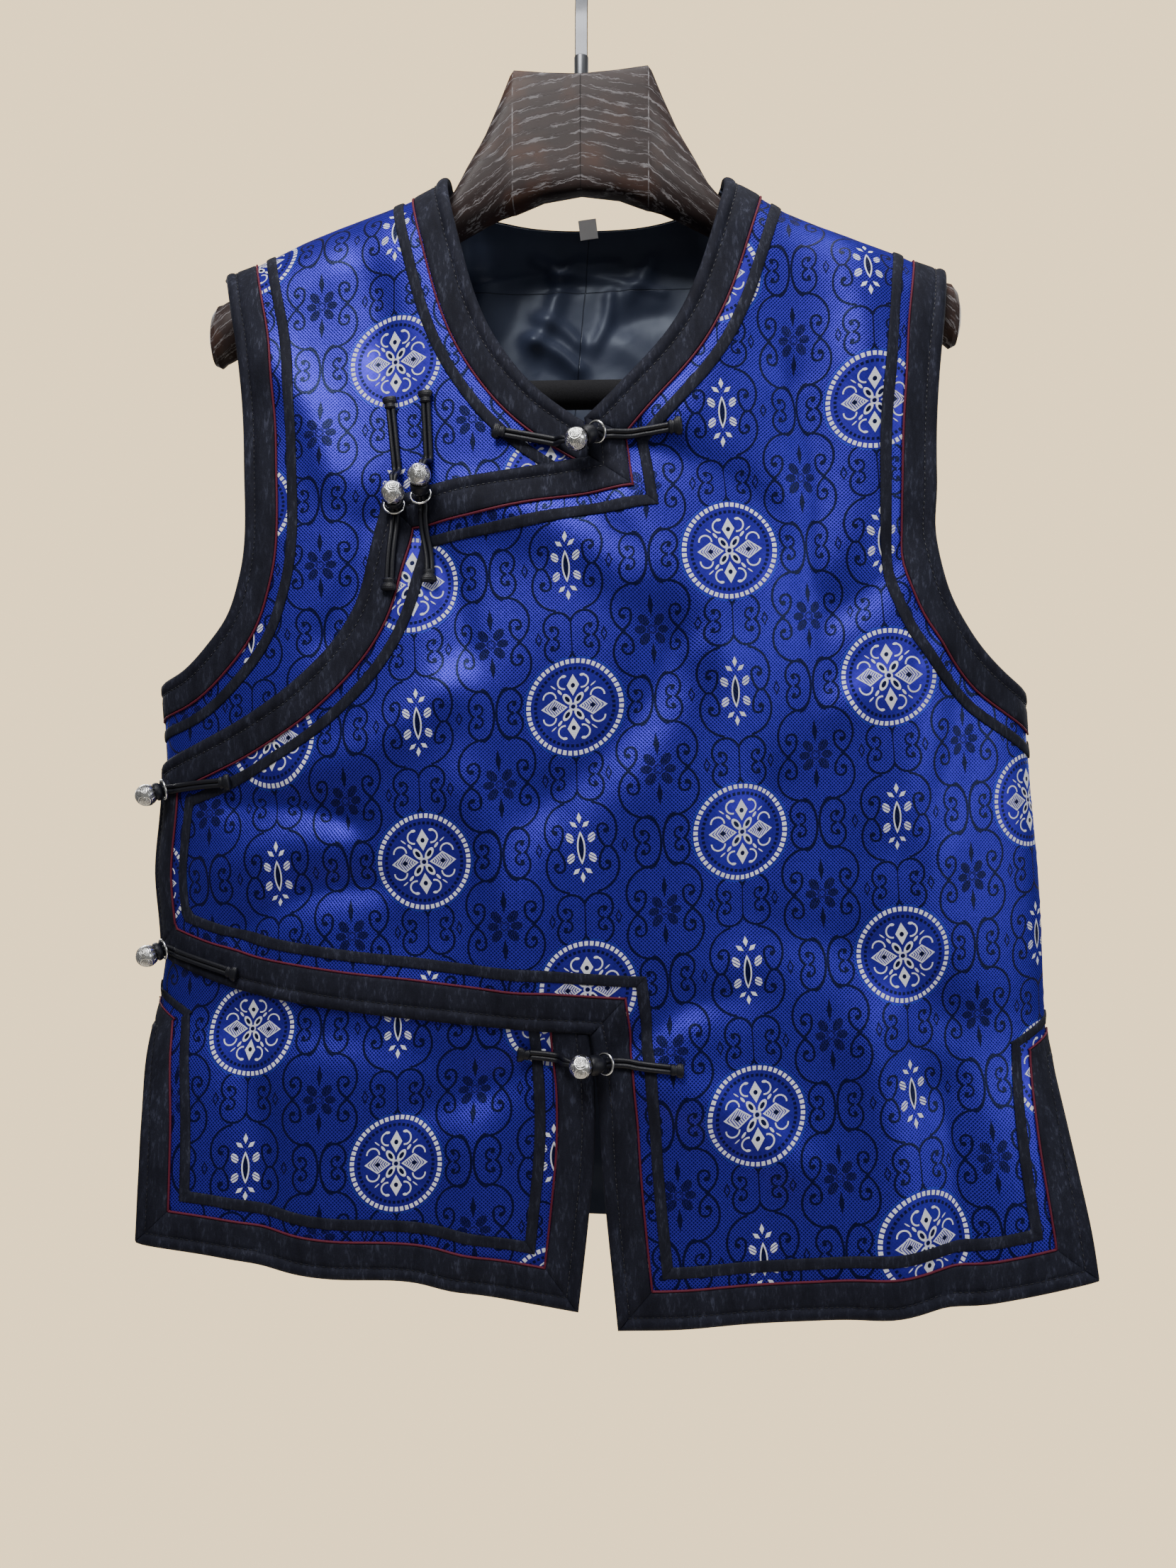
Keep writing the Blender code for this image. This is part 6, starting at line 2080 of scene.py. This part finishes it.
for c in CLOSURES:
    ball = cloth_at(c.ball_across, c.ball_down, c.ball_out)
    ring = cloth_at(c.ring_across, c.ring_down, c.ring_out)
    fasten_loop(c, ball, ring, cloth_normal(c.ring_across, c.ring_down))
    fasten_ball(c, ball)
    print("closure", c.name, "ball", round(np.linalg.norm(ball - ring), 1), "mm from its ring")

# %% [markdown]
# ## The hanger
#
# The hanger is cut from two dark boards that meet in the middle of a thick block, and its arms
# taper into the shoulders. Its form is a row of rounded sections, read finely from the same
# table as the solid's. The block's facets stay crisp, as a cutter leaves them.

# %% The hanger's sections
# The wooden hanger, from its middle to the end of an arm: heights of its top and bottom, its
# middle in depth, its half depth, how square its section is (2 is an ellipse), and how much
# the underside rises to the back.
Arm = namedtuple("Arm", "across top bottom middle half_depth power slope")
HANGER = table(
    Arm,
    (0, 106.4, 178.3, 0, 13, 6, 0.22), (24, 104.8, 181, 0, 13, 6, 0.12),
    (42, 102.2, 187.5, 0, 13, 5, 0), (44.5, 105, 188.5, 0, 13, 4, 0),
    (51, 120.5, 191, 0, 13.5, 3.2, 0), (60, 140.5, 195.5, 0, 14, 2.7, 0),
    (72, 162, 202, -0.5, 14.5, 2.4, 0), (79, 175.5, 206, -1, 14.5, 2.2, 0),
    (86, 184, 210, -1.5, 14, 2, 0), (105, 193.8, 220, -2, 14, 2, 0),
    (140, 212.1, 240, -3, 14, 2, 0), (180, 227.1, 257, -5, 14.5, 2, 0),
    (210, 239.1, 272, -7, 14.5, 2, 0), (225, 246, 283, -9, 13, 2, 0),
    (231.5, 251, 284, -9, 10.5, 2, 0), (233.5, 258, 277, -9, 6, 2, 0),
)
HANGER_SLOPE = 0.012
BLOCK_END = 60.0
WOOD_POINTS = 56
WOOD_STEP = 4.0

# %% The wooden arms
def wood_section(across):
    """The hanger's section at a place along it, as points in millimetres."""
    at = abs(across)
    read = {}
    for name in Arm._fields[1:]:
        look_up = smooth_lookup if at > BLOCK_END and name != "power" else np.interp
        read[name] = float(look_up(at, values_of(HANGER, "across"), values_of(HANGER, name)))
    z_middle = -(read["top"] + read["bottom"]) / 2 + HANGER_SLOPE * across
    share = 2 / read["power"]
    points = []
    for k in range(WOOD_POINTS):
        angle = (k + 0.5) * 2 * pi / WOOD_POINTS
        y = np.sign(cos(angle)) * abs(cos(angle)) ** share * read["half_depth"]
        z = np.sign(sin(angle)) * abs(sin(angle)) ** share * (read["bottom"] - read["top"]) / 2
        if z < 0:
            z += read["slope"] * y
        points.append((across, read["middle"] + y, z_middle + z))
    return points


half = sorted({*values_of(HANGER, "across"), *np.arange(WOOD_STEP, 230.0, WOOD_STEP)})
spots = [-x for x in half[:0:-1]] + half
wood_points = np.array([wood_section(x) for x in spots]).reshape(-1, 3)
wood_body = (wood_points, skin(len(spots), WOOD_POINTS))
hanger = closed_piece("wooden_hanger", [wood_body], wood, 28)
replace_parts(hanger, "hanger_arms")
print("hanger arms span", round(hanger.dimensions.x * 1000), "mm")

# %% Turned metal and the flocked bar
FERRULE_RADIUS = 4.5
FERRULE_TOP = 91.6
BAR_RADIUS = 9.0
BAR_HALF_LENGTH = 193.0
BAR_DROP = 307.5
BAR_DEPTH = -6.0
POST_ACROSS = 186.0
POST_RADIUS = 2.5


def turned(name, rows, finish, middle, sides=40, lying=False):
    """A closed body turned round an axis from rows of distance along it and radius."""
    angles = round_angles(sides)
    points = []
    for along, radius in rows:
        flat = np.stack([radius * np.cos(angles), radius * np.sin(angles)], axis=1)
        height = np.full((sides, 1), along)
        points.append(np.hstack([height, flat] if lying else [flat, height]))
    body = (np.concatenate(points) + middle, skin(len(rows), sides))
    return closed_piece(name, [body], finish)


def rounded_rod(half, radius, corner, middle=()):
    """Rows of a rod with rounded ends, and more rows between them where it needs them."""
    ends = [
        (half - corner + corner * sin(a), radius - corner + corner * cos(a))
        for a in np.linspace(0, pi / 2, 6)
    ]
    return [(-x, r) for x, r in ends[::-1]] + [(x, radius) for x in middle] + ends


bar_rows = rounded_rod(BAR_HALF_LENGTH, BAR_RADIUS, 3.0, np.linspace(-180, 180, 61))
bar_middle = (0, BAR_DEPTH, -BAR_DROP)
bar = turned("flocked_bar", bar_rows, flock, bar_middle, lying=True)
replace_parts(bar, "hanger_bar")

for side, name in ((-1, "left"), (1, "right")):
    bottom = np.interp(POST_ACROSS, values_of(HANGER, "across"), values_of(HANGER, "bottom"))
    top = bottom - HANGER_SLOPE * side * POST_ACROSS + 1.2
    low = BAR_DROP - BAR_RADIUS - 0.3
    post_rows = rounded_rod((low - top) / 2, POST_RADIUS, 0.5)
    middle = (side * POST_ACROSS, BAR_DEPTH, -(top + low) / 2)
    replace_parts(turned("post_" + name, post_rows, steel, middle, 28), "bar_post_" + name)

block_top = HANGER[0].top - 0.3
ferrule_rows = rounded_rod((block_top - FERRULE_TOP) / 2, FERRULE_RADIUS, 0.6)
ferrule_middle = (0, 0, -(FERRULE_TOP + block_top) / 2)
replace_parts(turned("steel_ferrule", ferrule_rows, steel, ferrule_middle), "ferrule")

# %% The flat steel hook
HOOK_RADIUS = 20.0
HOOK_WIDTH = 8.0
HOOK_THICK = 2.5
HOOK_EDGE = 0.45
HOOK_STEM = ((0, -FERRULE_TOP + 0.3), (0, -82), (0, -72), (0.9, -62), (4.4, -52), (10.8, -42.5))
HOOK_TIP = (-20.5, -34)

radius = HOOK_RADIUS + HOOK_THICK / 2
bend = [
    (radius * cos(radians(a)), -HOOK_RADIUS + radius * sin(radians(a))) for a in range(-30, 206, 5)
]
path = smooth_path([(0, y, z) for y, z in (*HOOK_STEM, *bend, HOOK_TIP)], 1.5)
w, t, e = HOOK_WIDTH / 2, HOOK_THICK / 2, HOOK_EDGE
half_loop = ((w, e - t), (w, t - e), (w - e, t), (e - w, t))
loop = (*half_loop, *((-a, -b) for a, b in half_loop))
points = []
for centre, tangent in zip(path, np.gradient(path, axis=0)):
    out = np.cross(unit(tangent), (1, 0, 0))
    points += [centre + np.array([a, 0, 0]) + out * b for a, b in loop]
hook_body = (np.array(points), skin(len(path), len(loop)))
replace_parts(closed_piece("steel_hook", [hook_body], steel, 30), "hook")

# %% [markdown]
# ## The neck tab
#
# A short folded grey tape stands at the back of the neck. It is left blank. Folded tape is
# never quite flat, so its mesh has a soft bow and a thickness.

# %% The blank tab
TAB_WIDTH = 11.8
TAB_LENGTH = 13.0
TAB_THICK = 0.6
TAB_MIDDLE = (3.0, 31.7, -185.9)
TAB_TURN = radians(7.0)
TAB_STEPS = 14

points, faces = [], []
for face in (-0.5, 0.5):
    for j in range(TAB_STEPS + 1):
        for i in range(TAB_STEPS + 1):
            u, v = i / TAB_STEPS - 0.5, j / TAB_STEPS - 0.5
            bow = 0.25 * cos(u * pi) * cos(v * pi * 0.8)
            x, z = u * TAB_WIDTH, v * TAB_LENGTH
            turned_x = x * cos(TAB_TURN) - z * sin(TAB_TURN)
            turned_z = x * sin(TAB_TURN) + z * cos(TAB_TURN)
            points.append((turned_x, face * TAB_THICK - bow, turned_z))
n = TAB_STEPS + 1
for face in (0, n * n):
    for j in range(TAB_STEPS):
        for i in range(TAB_STEPS):
            a = face + j * n + i
            faces.append((a, a + 1, a + n + 1, a + n))
ring = [*range(n), *(j * n + TAB_STEPS for j in range(1, n))]
ring += [*range(n * n - 2, n * TAB_STEPS - 1, -1), *range(n * (TAB_STEPS - 1), 0, -n)]
for a, b in zip(ring, ring[1:] + ring[:1]):
    faces.append((a, b, b + n * n, a + n * n))
tab = closed_piece("blank_neck_tab", [(np.array(points) + TAB_MIDDLE, faces)], tab_painted_lighter)
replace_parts(tab, "neck_tab")

# %% [markdown]
# ## What the cloth was cut from
#
# Each panel is gathered with the size and area of its cut, measured from its own outline, and
# with the trim sewn on it. Nothing more is done with them here.

# %% Gathering the sheets
def trims(*names):
    """The pieces of trim along some chains."""
    return [piece for name in names for piece in trim_on[name]]


for cloth, (cut, area), sewn_on in (
    (outer_front, outer_cut, trims("outer_front", "right_armhole_front")),
    (inner_front, inner_cut, trims("inner_neck", "left_armhole_front", "inner_lower")),
    (
        back_cloth,
        back_cut,
        trims("back_neck", "left_armhole_back", "right_armhole_back", "back_lower"),
    ),
    (lining_cloth, lining_cut, [tab]),
):
    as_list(sewn_on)

# %% [markdown]
# ## Floor and light
#
# A plain pale floor lies well below, since the hanger hangs on a high rail. A soft light from
# the front and left shows the silk's sheen. Weaker ones from the right and from above, and two
# from behind, keep the dark trim readable from every side.

# %% The floor
FLOOR_DROP = 1.95
FLOOR_RADIUS = 1.1

body = bmesh.new()
bmesh.ops.create_circle(body, cap_ends=True, segments=96, radius=FLOOR_RADIUS)
floor_mesh = bpy.data.meshes.new("floor")
body.to_mesh(floor_mesh)
body.free()
floor = bpy.data.objects.new("floor", floor_mesh)
floor.location = (0, 0, -FLOOR_DROP)
floor_mesh.materials.append(pale_floor)
bpy.context.scene.collection.objects.link(floor)

# %% The lights
Lamp = namedtuple("Lamp", "name place aim size power colour")
LAMPS = table(
    Lamp,
    ("key", (-0.35, -1.05, 0.75), (0, 0, -0.35), 0.6, 25.0, (1.0, 0.985, 0.96)),
    ("fill", (1.6, -1.0, -0.2), (0.1, 0, -0.5), 0.8, 9.0, (0.96, 0.98, 1.0)),
    ("top", (0.2, -0.2, 1.1), (0, 0, -0.4), 0.9, 12.0, (1.0, 1.0, 1.0)),
    ("back_left", (-1.4, 1.6, 0.3), (0, 0, -0.45), 1.3, 26.0, (1.0, 1.0, 1.0)),
    ("back_right", (1.4, 1.5, 0.2), (0, 0, -0.5), 1.3, 20.0, (1.0, 0.99, 0.97)),
)
for lamp in LAMPS:
    data = bpy.data.lights.new(lamp.name, "AREA")
    data.size = lamp.size
    data.energy = lamp.power
    data.color = lamp.colour
    light = bpy.data.objects.new(lamp.name, data)
    light.location = lamp.place
    way = Vector(lamp.aim) - Vector(lamp.place)
    light.rotation_euler = way.to_track_quat("-Z", "Y").to_euler()
    bpy.context.scene.collection.objects.link(light)
print(len(LAMPS), "soft lights")

# %% The pale room
WALL_COLOUR = (0.90, 0.69, 0.40, 1)
WALL_LIGHT = 2.1
ROOM_COLOUR = (0.93, 0.92, 0.90, 1)
ROOM_LIGHT = 0.20

world = bpy.data.worlds.new("room")
bpy.context.scene.world = world
world.use_nodes = True
tree = world.node_tree
lit = feed_all(tree, tree.nodes["Background"], Color=ROOM_COLOUR, Strength=ROOM_LIGHT)
shown = tree.nodes.new("ShaderNodeBackground")
feed_all(tree, shown, Color=WALL_COLOUR, Strength=WALL_LIGHT)
rays = tree.nodes.new("ShaderNodeLightPath")
choose = tree.nodes.new("ShaderNodeMixShader")
feed(tree, choose.inputs["Fac"], rays.outputs["Is Camera Ray"])
feed(tree, choose.inputs[1], lit.outputs["Background"])
feed(tree, choose.inputs[2], shown.outputs["Background"])
feed_all(tree, tree.nodes["World Output"], Surface=choose.outputs["Shader"])
print("room ready")
